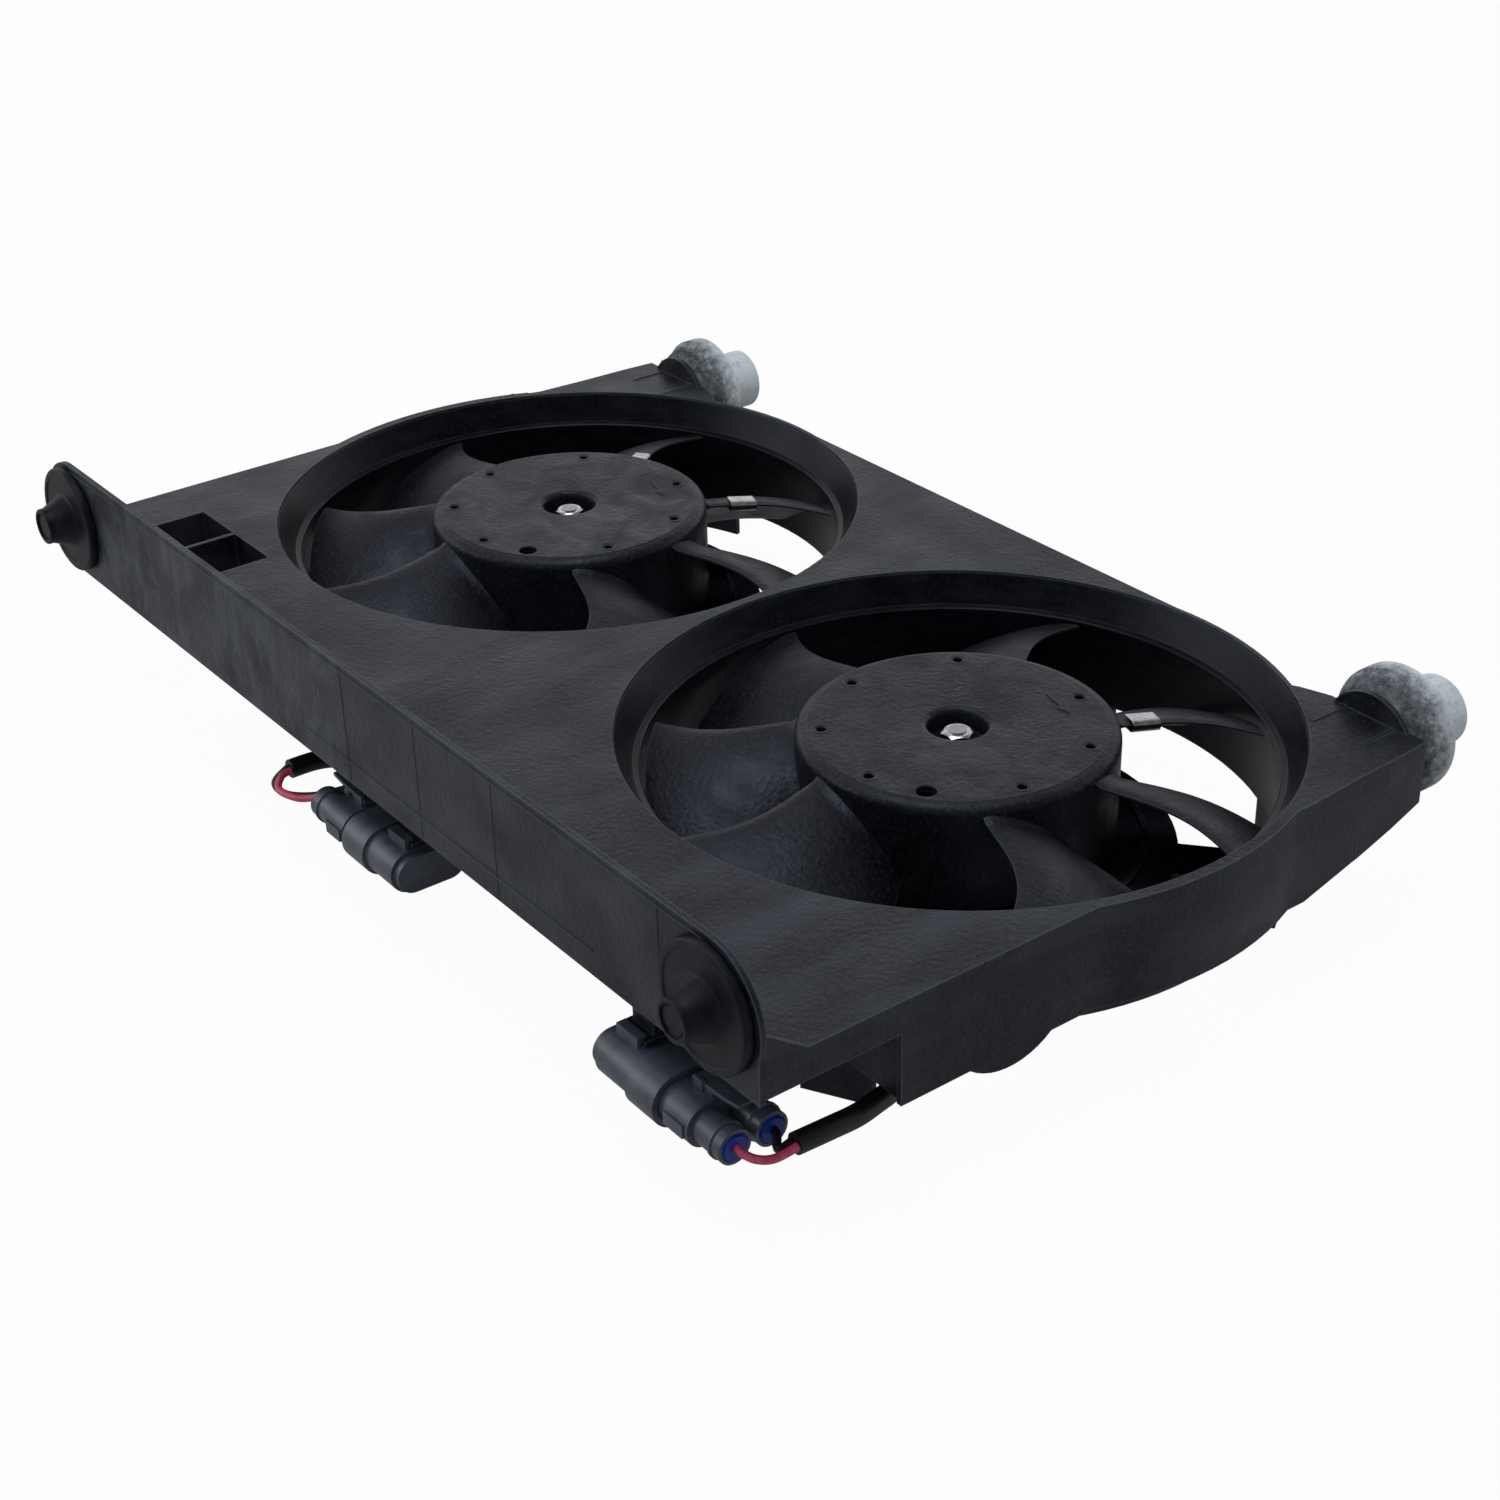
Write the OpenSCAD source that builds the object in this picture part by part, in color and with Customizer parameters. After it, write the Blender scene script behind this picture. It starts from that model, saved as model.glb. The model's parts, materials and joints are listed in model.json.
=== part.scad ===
// Twin radiator cooling fan module with shroud, motors and plugs.
// It lies as it does on a bench: fan axes +Z, long side X, pin wall towards -Y, isolators towards +Y.
// Sizes are worked out from the top face of the panel and the middle between the fans,
// and the whole is then placed so that its box stands on z = 0 with the origin below its middle.

/* [Shroud] */
// Distance between the two fan axes
fan_spacing = 303.4; // [302:0.2:306]
// Radius of each opening at the panel
opening_r = 149.5; // [147:0.5:150]
// Radius of the tunnel around the blade tips
tunnel_r = 141; // [140:0.5:143]
// Depth of the tunnel below the panel
tunnel_h = 58.3; // [56:0.1:60]
// Depth of the funnel above the ledge
funnel_h = 15.5; // [13:0.5:18]
// Thickness of the moulded walls
wall_t = 2.6; // [2.2:0.1:3]
// Width of the rim round each opening
rim_w = 1.9; // [1.7:0.1:2]
// Half length of the panel
panel_half_x = 296; // [292:1:298]
// Radius of the two bulges past the panel ends
bulge_r = 154.5; // [154:0.1:155.5]
// Height of the side walls
side_wall_h = 47.5; // [44:0.5:50]
// Height of the low skirt in front of the side walls
skirt_h = 14.6; // [12:0.2:16]
// Length of the notch between the pin wall and the side walls
notch_l = 65.1; // [60:0.5:70]
// Height of the stiffening ribs under the panel
rib_h = 12; // [8:1:14]

/* [Pin wall] */
// Distance from the fan axes to the outer face of the pin wall
pin_wall_y = 218.6; // [214:0.2:222]
// Distance between the two pegs
peg_spacing = 537; // [530:1:540]
// Height of the peg axis above the panel
peg_z = 12.6; // [11:0.2:14]
// Radius of the round ends of the pin wall
pin_end_r = 29; // [28:0.5:30]
// Radius of the holes for the peg grommets
grommet_hole_r = 10; // [9:0.5:11]

/* [Windows] */
// Distance from the panel middle to the inner edge of the windows
window_x = 190; // [186:1:194]
// Length of both windows together
window_l = 71; // [66:1:74]
// Distance from the pin wall to the far edge of the windows
window_far = 65; // [60:1:68]
// Width of the windows
window_w = 42; // [36:1:46]
// Depth of the window walls
window_h = 28; // [20:1:30]
// Distance from the inner edge of the windows to the bar between them
window_split = 37; // [34:1:40]
// Thickness of the bar between the windows
window_bar = 2.4; // [2:0.2:4]

/* [Isolators] */
// Distance of the right isolator from the panel middle
isolator_right_x = 262.3; // [260:0.5:264]
// Seat of the right isolator
isolator_right_y = 140.5; // [138:0.5:144]
// Distance of the left isolator from the panel middle
isolator_left_x = 255; // [253:0.5:258]
// Seat of the left isolator
isolator_left_y = 146; // [144:0.5:148]
// Depth of the isolator axis below the panel
isolator_drop = 12.4; // [11:0.2:14]
// Radius of the moulded boss
boss_r = 23.5; // [22:0.5:24]
// Radius of the isolator drum
isolator_r = 29.5; // [28.5:0.5:31]
// Radius of the isolator tail
isolator_tail_r = 16.4; // [15:0.2:18]
// Length of the isolator from its seat
isolator_l = 45; // [42:1:48]
// Radius of the stud inside the isolator
stud_r = 10; // [8:0.5:11]

/* [Peg grommets] */
// Radius of the grommet flange
flange_r = 26.5; // [25:0.5:28]
// Thickness of the grommet flange
flange_t = 4.5; // [3.5:0.5:5.5]
// Base radius of the peg
peg_base_r = 13; // [12:0.5:14]
// Tip radius of the peg
peg_tip_r = 9; // [8:0.5:10]
// Length of the peg beyond the flange
peg_l = 12.6; // [11:0.2:15]

/* [Fan] */
// Radius of the hub
hub_r = 71; // [70:0.5:72]
// Depth of the hub top below the panel
hub_drop = 2; // [1:0.5:4]
// Height of the hub
hub_h = 50; // [48:1:51]
// Wall of the hub
hub_wall = 2.6; // [2.2:0.1:3]
// Gap between the blade tips and the tunnel
tip_gap = 4; // [3.5:0.5:7]
// Thickness of the blades
blade_t = 2.2; // [1.8:0.1:2.6]
// Radius of the ring of small holes in the hub
hub_hole_ring_r = 59.2; // [57:0.2:61]
// Radius of the small holes in the hub
hub_hole_r = 2.2; // [1.8:0.1:2.6]
// Radius of the recess round the nut
recess_r = 15.6; // [14.5:0.1:17]

/* [Motor] */
// Radius of the motor can
motor_r = 54; // [52:0.5:55]
// Wall of the can and the end cap
can_t = 2; // [1.6:0.1:2.4]
// Radius of the shaft in its bearings
shaft_r = 5; // [4.8:0.1:5.4]
// Radius of the threaded end of the shaft
thread_r = 4; // [3.8:0.1:4.2]
// Depth of the motor back below the panel
motor_back = 95; // [94:0.5:98]
// Radius of the screw circle on the motor flange
screw_ring_r = 64.5; // [63:0.5:65]
// Radius of the motor screws
screw_r = 2.5; // [2.2:0.1:2.8]

/* [Plugs] */
// Radius of each barrel
barrel_r = 7.5; // [7.2:0.1:7.8]
// Distance between the two barrels
barrel_spacing = 17; // [16.5:0.1:18]
// Depth of the plug axis below the panel
plug_drop = 50; // [49:0.5:51]
// Length of the mated plug
plug_l = 80; // [77:1:83]
// Radius of a wire
wire_r = 1.75; // [1.5:0.05:1.75]
// Radius of the lead sleeve
sleeve_r = 4.5; // [4.3:0.1:4.5]

/* [Hidden] */
$fn = 96;
// Faces on large round forms
big_fn = 180;
// Small overlap that joins two forms of one moulding
lap = 0.01;
// Gap between pieces pressed or pushed together
press_gap = 0.02;
// Radial clearance of the shaft in its bearings
running_gap = 0.04;
// Gap at a seat
seat_gap = 0.3;

// Shroud: shared places
side_wall_y = 58;
bulge_half_y = 65;
bulge_reach = 40;
panel_side_y = 55;
ear_edge = [[33.7, -75.4], [31.6, -45.1], [30.6, -18.9], [29.1, 0]];
ear_bottom = [[0, -30], [-40.5, -41]];
lobe_r = 33.2;
lobe_rise = 25.8;
lobe_from_notch = 55;
rib_positions = [for (k = [-0.412, -0.2175, 0, 0.2175, 0.412]) k * fan_spacing];
cross_rib_y = -pin_wall_y + 47.6;
cross_rib_gap = 20;
brace_positions = concat([-window_x - 10, 6, window_x + 10], [for (x = rib_positions) if (x != 0) x]);

// Notch between the pin wall and a side wall, with the guard that keeps the lead off the blades
notch_plate_step = 2;
notch_plate_l = 41.4;
notch_plate_t = 2;
guard_from = [82.9, -152.5];
guard_to = [110.1, -137.5];
guard_h = 75;
guard_rib_h = 56;
guard_rib_angles = [-59.5, -53.5];

// Relief on the pin wall
bead_rise = 11;
bead_from = -31;
bead_to = 192;
relief = 0.4;
seam_positions = [6, 66, 125, 237];

// Placing of the whole
fan_x = fan_spacing / 2;
peg_end_y = -pin_wall_y - seat_gap - flange_t - peg_l;
tail_end_y = max(isolator_right_y, isolator_left_y) + isolator_l;
shift_y = -(peg_end_y + tail_end_y) / 2;
shift_z = motor_back;

// Carrier of the motor, at the bottom of the tunnel
carrier_z = -59;
carrier_t = 2.5;
carrier_r = 98;
carrier_rib_h = 15;
collar_r = 84.5;
collar_h = 4;
carrier_hole_r = motor_r + seat_gap;
lug_t = 2.5;
lug_r = 7.5;
lug_angles = [90, 210, 330];
arm_angles = [40, 130, 220, 310];
arm_w = 26;
arm_foot_from = [-10, -24, -24, -24];
arm_foot_to = [24, 24, 24, 16];
foot_step = 0.4;
arm_step = 0.3;

// Motor, along its axis
hub_top = -hub_drop;
boss_bottom = hub_top - 17;
can_top = boss_bottom - 5;
can_bottom = -motor_back + 13;
neck_top = boss_bottom - 1.5;
bearing_r = 9;
bearing_l = 8;
bearing_wall = 2;
front_bearing_top = neck_top - can_t;
rear_bearing_bottom = -motor_back + can_t + press_gap;
shaft_rear_r = shaft_r;
shaft_rear_z = rear_bearing_bottom + 1;
can_inner_r = motor_r - can_t;
magnet_t = 8.5;
magnet_top = can_top - 11;
magnet_bottom = can_bottom + 11;
air_gap = 1;
stack_r = can_inner_r - magnet_t - air_gap;
stack_top = magnet_top - 2;
stack_bottom = magnet_bottom + 2;
stack_slots = 12;
coil_r = stack_r - 3;
coil_h = 5;
commutator_r = 14;
commutator_top = stack_bottom - coil_h - 1;
commutator_bottom = commutator_top - 9;
brush_w = 8;
brush_h = 6;
brush_l = 13;
brush_z = (commutator_top + commutator_bottom) / 2;
card_t = 2;
card_top = brush_z - brush_h / 2 - 1;
holder_wall = 1.5;
spring_r = 2.4;
spring_wire_r = 0.45;
spring_l = 9;
spring_turns = 4;

// Nut and washer on the shaft
washer_t = 1.5;
washer_r = 8.5;
nut_af = 13;
nut_h = 5.5;
recess_floor = hub_top - 10;
hub_boss_r = 19;

// Holes in the hub, by angle
hub_hole_angles = [30.9, 74.3, 138.7, 191.4, 235.3, 279.9, 345.5];
hub_big_hole_angle = 306.1;
hub_big_hole_r = 4.5;
hub_rim_round = 5;

// Blades: leading edges by angle, and how each falls along its chord
tip_r = tunnel_r - tip_gap;
blade_angles = [12.5, 57, 113.5, 173, 219, 262, 327];
root_lead_z = -8.5;
tip_lead_z = -17;
root_trail_z = -40;
tip_trail_z = -50;
root_chord = 45;
tip_chord = 37;
winglet_lead_z = -17;
winglet_trail_z = -21;
winglet_start = 0.58;
winglet_power = 2.5;
blade_steps_r = 10;
blade_steps_c = 8;

// Balance clips, by their distance from the fan axis
right_clip_reach = hub_r + 13;
left_inner_clip_reach = hub_r + 9;
left_outer_clip_reach = hub_r + 20;

// Plug, along its own axis from the wire end
seal_r = barrel_r - 1.4;
barrel_l = 20;
body_start = 17;
body_end = 49;
body_r = barrel_r + 2;
collar_start = 36;
collar_end = 54;
collar_wall = 2.2;
mate_r = body_r + 0.6;
rail_start = plug_l - 20;
rail_end = plug_l - 6;
lead_entry_z = -motor_back + 7;
lead_entry_r = motor_r + 6;
right_plug = [274, -pin_wall_y + 13.1];
left_plug = [-40, -pin_wall_y + 17.1];

// Routes of the leads, from the plugs to the motors
right_sleeve_route = [
    [286.5, -196, -50], [286.8, -180, -50.5], [285.5, -166, -52.2], [281.5, -153, -54.5],
    [275, -140, -59], [265, -129, -64], [254, -119, -66.5], [235, -99, -66.5], [216, -76.5, -66.5],
    [204, -62, -74], [197.5, -54.5, -84], [193.5, -49.8, -87.8], [190.5, -46.2, -88]
];
left_sleeve_route = [
    [-75.5, -209, -50], [-75.5, -192, -51], [-73, -168, -57], [-66, -142, -64], [-54, -118, -66.5],
    [-69, -98, -66.5], [-87.4, -76.5, -66.5], [-99.4, -62, -74],
    [-105.9, -54.5, -84], [-109.9, -49.8, -87.8], [-112.9, -46.2, -88]
];
right_power_route = [
    [275.2, -214, -50], [279, -214, -50.3], [284, -211.5, -51], [287.6, -206, -51], [288.3, -196.2, -50]
];
right_ground_route = [
    [275.2, -197, -50], [278, -197.8, -50.6], [281.5, -200.5, -52], [284, -200.8, -51.6],
    [284.6, -196.2, -50]
];
left_power_route = [
    [-41.2, -210, -50], [-46, -211, -51], [-56, -216, -54], [-68, -219, -54], [-73.6, -214.5, -51],
    [-73.7, -209.2, -50]
];
left_ground_route = [
    [-41.2, -193, -50], [-46, -195, -52], [-56, -207, -56], [-67, -216, -57], [-75, -217.5, -54],
    [-77.3, -209.2, -50]
];

// Point on a smooth curve through four points
function curve_point(p0, p1, p2, p3, t) =
    0.5 * (2 * p1 + (p2 - p0) * t + (2 * p0 - 5 * p1 + 4 * p2 - p3) * t * t
        + (3 * p1 - p0 - 3 * p2 + p3) * t * t * t);

// Smooth curve through a list of points
function smooth_path(points, steps) = [
    for (i = [0 : len(points) - 2], k = [0 : steps - 1])
        curve_point(points[max(i - 1, 0)], points[i], points[i + 1],
            points[min(i + 2, len(points) - 1)], k / steps),
    points[len(points) - 1]
];

function unit(v) = v / norm(v);

function path_direction(path, i) =
    unit(path[min(i + 1, len(path) - 1)] - path[max(i - 1, 0)]);

// Side direction carried along the path without twist
function carried_sides(path, i, side) =
    i >= len(path) ? [] :
    let (dir = path_direction(path, i), flat = unit(side - dir * (side * dir)))
    concat([flat], carried_sides(path, i + 1, flat));

// Round tube along a path, closed at both ends
module swept_tube(path, r, sides) {
    rings = len(path);
    across = carried_sides(path, 0, [0.13, 0.21, 1]);
    points = [
        for (i = [0 : rings - 1], k = [0 : sides - 1])
            let (dir = path_direction(path, i), up = cross(dir, across[i]), a = 360 * k / sides)
            path[i] + r * (cos(a) * across[i] + sin(a) * up)
    ];
    walls = [
        for (i = [0 : rings - 2], k = [0 : sides - 1], half = [0, 1])
            let (k2 = (k + 1) % sides, low = i * sides, high = low + sides)
            half == 0 ? [low + k, high + k, high + k2] : [low + k, high + k2, low + k2]
    ];
    first = [for (k = [0 : sides - 1]) k];
    last = [for (k = [sides - 1 : -1 : 0]) (rings - 1) * sides + k];
    polyhedron(points, concat(walls, [first, last]), convexity = 10);
}

module placed() {
    translate([0, shift_y, shift_z]) children();
}

module at_fan(side) {
    placed() translate([side * fan_x, 0, 0]) children();
}

// Tube between two heights
module ring(outer_r, inner_r, low, high, faces = big_fn) {
    translate([0, 0, low]) difference() {
        cylinder(h = high - low, r = outer_r, $fn = faces);
        translate([0, 0, -1]) cylinder(h = high - low + 2, r = inner_r, $fn = faces);
    }
}

module box(low, high) {
    translate(low) cube(high - low);
}

// Shroud

module ear_outline(x, y) {
    polygon(concat(
        [[x - 110, 60], [panel_half_x, 50]], [for (p = ear_edge) [x + p.x, y + p.y]],
        [[x - boss_r, y], [x - 38, y - 4.5], [x - 110, 95]]
    ));
}

// Slanted lower edge of an ear, seen from the side
module ear_side_profile(y) {
    rotate([90, 0, 90]) linear_extrude(2 * panel_half_x) polygon([
        [50, 0], [y, 0], [y, ear_bottom[0].y], [y + ear_bottom[1].x, ear_bottom[1].y],
        [y + ear_edge[0].y, -side_wall_h], [50, -side_wall_h]
    ]);
}

module ear(x, y) {
    translate([0, 0, -wall_t]) linear_extrude(wall_t) ear_outline(x, y);
    intersection() {
        translate([0, 0, -side_wall_h]) linear_extrude(side_wall_h) difference() {
            ear_outline(x, y);
            polygon(concat(
                [[x - 111, 40], [panel_half_x - wall_t, 40], [panel_half_x - wall_t, 50]],
                [for (p = ear_edge) [x + p.x - wall_t, y + p.y - (p.y == 0 ? wall_t : 0)]],
                [[x - boss_r, y - wall_t], [x - 38, y - 4.5 - wall_t], [x - 111, 95 - 1.5 * wall_t]]
            ));
        }
        ear_side_profile(y);
    }
    isolator_boss(x, y);
}

// Round boss that the isolator seats on, with its stud and two gussets
module isolator_boss(x, y) {
    translate([x, y, -isolator_drop]) rotate([90, 0, 0]) {
        cylinder(h = wall_t, r = boss_r);
        translate([0, 0, -isolator_l + 12]) cylinder(h = isolator_l - 12 + lap, r = stud_r);
    }
    gusset_l = 22;
    for (dx = [-14, 14])
        translate([x + dx, 0, 0]) rotate([90, 0, 90]) translate([0, 0, -wall_t / 2])
            linear_extrude(wall_t) polygon([
                [y - wall_t - gusset_l, -lap], [y - wall_t + lap, -lap],
                [y - wall_t + lap, sqrt(boss_r * boss_r - 14 * 14) - isolator_drop]
            ]);
}

module panel_outline() {
    polygon([
        [-panel_half_x, -pin_wall_y], [panel_half_x, -pin_wall_y],
        [panel_half_x, panel_side_y], [-panel_half_x, panel_side_y]
    ]);
    back = opening_r + rim_w / 2;
    polygon([[-fan_x, 0], [fan_x, 0], [fan_x, back], [-fan_x, back]]);
    for (side = [-1, 1])
        translate([side * fan_x, 0]) circle(r = opening_r + rim_w, $fn = big_fn);
}

module window_outline() {
    far = -pin_wall_y + window_far;
    chamfer = 5;
    difference() {
        polygon([
            [-window_x, far], [-window_x - window_l, far],
            [-window_x - window_l, far - window_w], [-window_x - chamfer, far - window_w],
            [-window_x, far - window_w + chamfer]
        ]);
        translate([-window_x - window_split - window_bar / 2, far - window_w - 1])
            square([window_bar, window_w + 2]);
    }
}

module windows_wall() {
    far = -pin_wall_y + window_far;
    difference() {
        box([-window_x - window_l - wall_t, far - window_w - wall_t, -window_h],
            [-window_x + wall_t, far + wall_t, -lap]);
        translate([0, 0, -window_h - 1]) linear_extrude(window_h + 2) window_outline();
    }
}

module bulge(side) {
    translate([0, 0, -side_wall_h]) linear_extrude(side_wall_h) intersection() {
        difference() {
            translate([side * fan_x, 0]) circle(r = bulge_r, $fn = big_fn);
            translate([side * fan_x, 0]) circle(r = bulge_r - wall_t, $fn = big_fn);
        }
        translate([side * (panel_half_x + bulge_reach / 2), 0])
            square([bulge_reach + 2 * wall_t, 2 * bulge_half_y], center = true);
    }
    translate([0, 0, -wall_t]) linear_extrude(wall_t) intersection() {
        translate([side * fan_x, 0]) circle(r = bulge_r, $fn = big_fn);
        translate([side * (panel_half_x + bulge_reach / 4), 0])
            square([bulge_reach, 2 * bulge_half_y], center = true);
    }
}

module side_wall(side) {
    start = -pin_wall_y + notch_l;
    difference() {
        union() {
            box([min(side * panel_half_x, side * (panel_half_x - wall_t)), start, -side_wall_h],
                [max(side * panel_half_x, side * (panel_half_x - wall_t)), side_wall_y, -lap]);
            box([min(side * panel_half_x, side * (panel_half_x - wall_t)), -pin_wall_y, -skirt_h],
                [max(side * panel_half_x, side * (panel_half_x - wall_t)), start + lap, -lap]);
        }
        translate([side * fan_x, 0, -100]) cylinder(h = 110, r = bulge_r - wall_t / 2, $fn = big_fn);
    }
    translate([side * (panel_half_x - wall_t / 2), start + lobe_from_notch, -side_wall_h])
        rotate([0, 90, 0]) intersection() {
            translate([-lobe_rise, 0, -wall_t / 2]) cylinder(h = wall_t, r = lobe_r, $fn = big_fn);
            translate([-1, -lobe_r, -wall_t]) cube([lobe_r, 2 * lobe_r, 2 * wall_t]);
        }
    inner_x = side * (panel_half_x - notch_plate_l - wall_t);
    plate_x = side * (panel_half_x - wall_t / 2);
    box([min(inner_x, plate_x), start + notch_plate_step, -side_wall_h + lap],
        [max(inner_x, plate_x), start + notch_plate_step + notch_plate_t, -2 * lap]);
    corner_lip_h = 15.5;
    corner_lip_l = 22;
    translate([side * (panel_half_x - wall_t / 2), 0, 0]) rotate([90, 0, 90])
        translate([0, 0, -wall_t / 2]) linear_extrude(wall_t) polygon([
            [-pin_wall_y + lap, -lap], [-pin_wall_y + corner_lip_l, -lap], [-pin_wall_y + lap, corner_lip_h]
        ]);
}

// Web under the panel between the right lead and the tunnel, held by two ribs
module lead_guard() {
    run = guard_to - guard_from;
    rib_r = norm((guard_from + guard_to) / 2);
    translate([fan_x, 0, 0]) {
        translate([guard_from.x, guard_from.y, 0]) rotate(atan2(run.y, run.x))
            box([0, -wall_t / 2, -guard_h], [norm(run), wall_t / 2, -wall_t / 2]);
        for (a = guard_rib_angles)
            rotate([90, 0, a]) translate([0, 0, -wall_t / 2]) linear_extrude(wall_t) polygon([
                [tunnel_r + wall_t / 2, -guard_rib_h], [rib_r, -guard_rib_h], [rib_r, -wall_t / 2 - lap],
                [opening_r + rim_w / 2, -wall_t], [tunnel_r + 3.8 + wall_t / 2, -funnel_h],
                [tunnel_r + wall_t / 2, -funnel_h - 2]
            ]);
    }
}

module pin_wall() {
    bottom = peg_z - pin_end_r;
    translate([0, -pin_wall_y + wall_t, 0]) rotate([90, 0, 0]) linear_extrude(wall_t) difference() {
        union() {
            for (side = [-1, 1])
                translate([side * peg_spacing / 2, peg_z]) circle(r = pin_end_r, $fn = big_fn);
            polygon([
                [-peg_spacing / 2, bottom], [panel_half_x, bottom], [panel_half_x, peg_z],
                [peg_spacing / 2, peg_z + pin_end_r], [-peg_spacing / 2, peg_z + pin_end_r]
            ]);
        }
        for (side = [-1, 1])
            translate([side * peg_spacing / 2, peg_z]) circle(r = grommet_hole_r);
    }
    top = peg_z + pin_end_r;
    box([bead_from, -pin_wall_y - relief, bottom + bead_rise - relief],
        [bead_to, -pin_wall_y + lap, bottom + bead_rise + relief]);
    box([-peg_spacing / 2, -pin_wall_y - relief, top - 3.5], [peg_spacing / 2, -pin_wall_y + lap, top - 3]);
    for (x = seam_positions)
        box([x - relief / 2, -pin_wall_y - relief / 2, bottom + 1],
            [x + relief / 2, -pin_wall_y + 2 * lap, top - 1]);
    brace_h = top - 6;
    for (x = brace_positions)
        translate([x, 0, 0]) rotate([90, 0, 90]) translate([0, 0, -wall_t / 2])
            linear_extrude(wall_t) polygon([
                [-pin_wall_y + wall_t - lap, -lap], [-pin_wall_y + 20, -lap],
                [-pin_wall_y + wall_t - lap, brace_h]
            ]);
}

// Funnel, ledge and tunnel round one fan
module tunnel(side) {
    ledge_w = 3.8;
    translate([side * fan_x, 0, 0]) rotate_extrude($fn = big_fn) polygon([
        [opening_r, 0], [opening_r - 0.4, -1.2], [tunnel_r + ledge_w, -funnel_h],
        [tunnel_r, -funnel_h - 0.5], [tunnel_r, -tunnel_h], [tunnel_r + wall_t, -tunnel_h],
        [tunnel_r + wall_t, -funnel_h - wall_t - 0.5], [tunnel_r + ledge_w + wall_t, -funnel_h - wall_t],
        [opening_r + rim_w, -2 * wall_t], [opening_r + rim_w, 0]
    ]);
}

module motor_carrier(side) {
    translate([side * fan_x, 0, 0]) difference() {
        union() {
            ring(carrier_r, carrier_hole_r, carrier_z - carrier_t, carrier_z);
            ring(carrier_r, carrier_r - wall_t, carrier_z - carrier_rib_h, carrier_z - lap);
            ring(collar_r, collar_r - 2, carrier_z - lap, carrier_z + collar_h);
            for (k = [0 : len(arm_angles) - 1])
                rotate(arm_angles[k]) arm(arm_foot_from[k], arm_foot_to[k]);
        }
        for (a = lug_angles)
            rotate(a) translate([screw_ring_r, 0, carrier_z - carrier_t - 1])
                cylinder(h = carrier_t + 2, r = screw_r + press_gap, $fn = 32);
        for (a = arm_angles)
            rotate(a) box([carrier_r - 6, -arm_w / 2 + wall_t + arm_step, carrier_z - carrier_rib_h - 1],
                [tunnel_r - 6, arm_w / 2 - wall_t - arm_step, carrier_z - carrier_t - 2 * arm_step]);
    }
}

// Arm from the motor carrier to the foot on the tunnel
module arm(foot_from, foot_to) {
    reach = tunnel_r + wall_t / 2;
    plate_y = arm_w / 2 - arm_step;
    translate([0, 0, carrier_z - carrier_t - arm_step]) linear_extrude(carrier_t) difference() {
        polygon([
            [carrier_r - 4, -plate_y], [reach, -plate_y], [reach, plate_y], [carrier_r - 4, plate_y]
        ]);
        circle(r = carrier_r - 3, $fn = big_fn);
    }
    for (s = [-1, 1])
        box([carrier_r - 2, s * arm_w / 2 - (s > 0 ? wall_t : 0), carrier_z - carrier_rib_h + arm_step],
            [reach + arm_step, s * arm_w / 2 + (s > 0 ? 0 : wall_t), carrier_z - 3 * arm_step]);
    foot_top = -tunnel_h + 2;
    foot_bottom = carrier_z - carrier_rib_h;
    channel_y = arm_w / 2 - wall_t - arm_step;
    translate([0, 0, foot_bottom]) difference() {
        rotate(foot_from) rotate_extrude(angle = foot_to - foot_from, $fn = big_fn)
            translate([tunnel_r + foot_step, 0]) square([wall_t, foot_top - foot_bottom]);
        translate([reach - 6, -channel_y, -1])
            cube([12, 2 * channel_y, carrier_rib_h - carrier_t - arm_step]);
    }
}

// Ribs under the panel between the pin wall and the tunnels
module panel_ribs() {
    low = -wall_t - rib_h;
    for (x = rib_positions) {
        far = x == 0 ? -24 : -opening_r + 9.5;
        box([x - 1, -pin_wall_y + wall_t - lap, low], [x + 1, far, -wall_t + lap]);
    }
    box([-window_x + wall_t, cross_rib_y - 1, low], [-cross_rib_gap, cross_rib_y + 1, -wall_t + lap]);
    box([cross_rib_gap, cross_rib_y - 1, low], [window_x + 50, cross_rib_y + 1, -wall_t + lap]);
}

// Bracket that a plug is clipped to
module plug_bracket(plug, turn) {
    top_of_mate = -plug_drop + mate_r + seat_gap;
    translate([plug.x, plug.y, 0]) rotate(turn) {
        box([rail_start, -1.5, top_of_mate], [rail_end, 1.5, -wall_t + lap]);
        box([rail_start - 2, -7, top_of_mate], [rail_end + 2, 7, top_of_mate + 2.4]);
    }
}

module shroud() {
    color([0.13, 0.13, 0.14]) placed() {
        difference() {
            union() {
                translate([0, 0, -wall_t]) linear_extrude(wall_t) difference() {
                    panel_outline();
                    window_outline();
                }
                ear(isolator_right_x, isolator_right_y);
                mirror([1, 0, 0]) ear(isolator_left_x, isolator_left_y);
                panel_ribs();
                for (side = [-1, 1]) {
                    bulge(side);
                    side_wall(side);
                }
            }
            for (side = [-1, 1])
                translate([side * fan_x, 0, -100]) cylinder(h = 110, r = opening_r + 1, $fn = big_fn);
        }
        windows_wall();
        pin_wall();
        lead_guard();
        for (side = [-1, 1]) {
            tunnel(side);
            motor_carrier(side);
        }
        plug_bracket(right_plug, 180);
        plug_bracket(left_plug, 0);
    }
}

// Fan

// Height of the blade's middle surface: u from root to tip, v from leading to trailing edge
function blade_base_z(u, v) =
    let (lead = root_lead_z + (tip_lead_z - root_lead_z) * u,
         trail = root_trail_z + (tip_trail_z - root_trail_z) * (1.6 * u - 0.6 * u * u),
         power = 2 - 0.55 * u)
    lead + (trail - lead) * pow(v, power);

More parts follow.
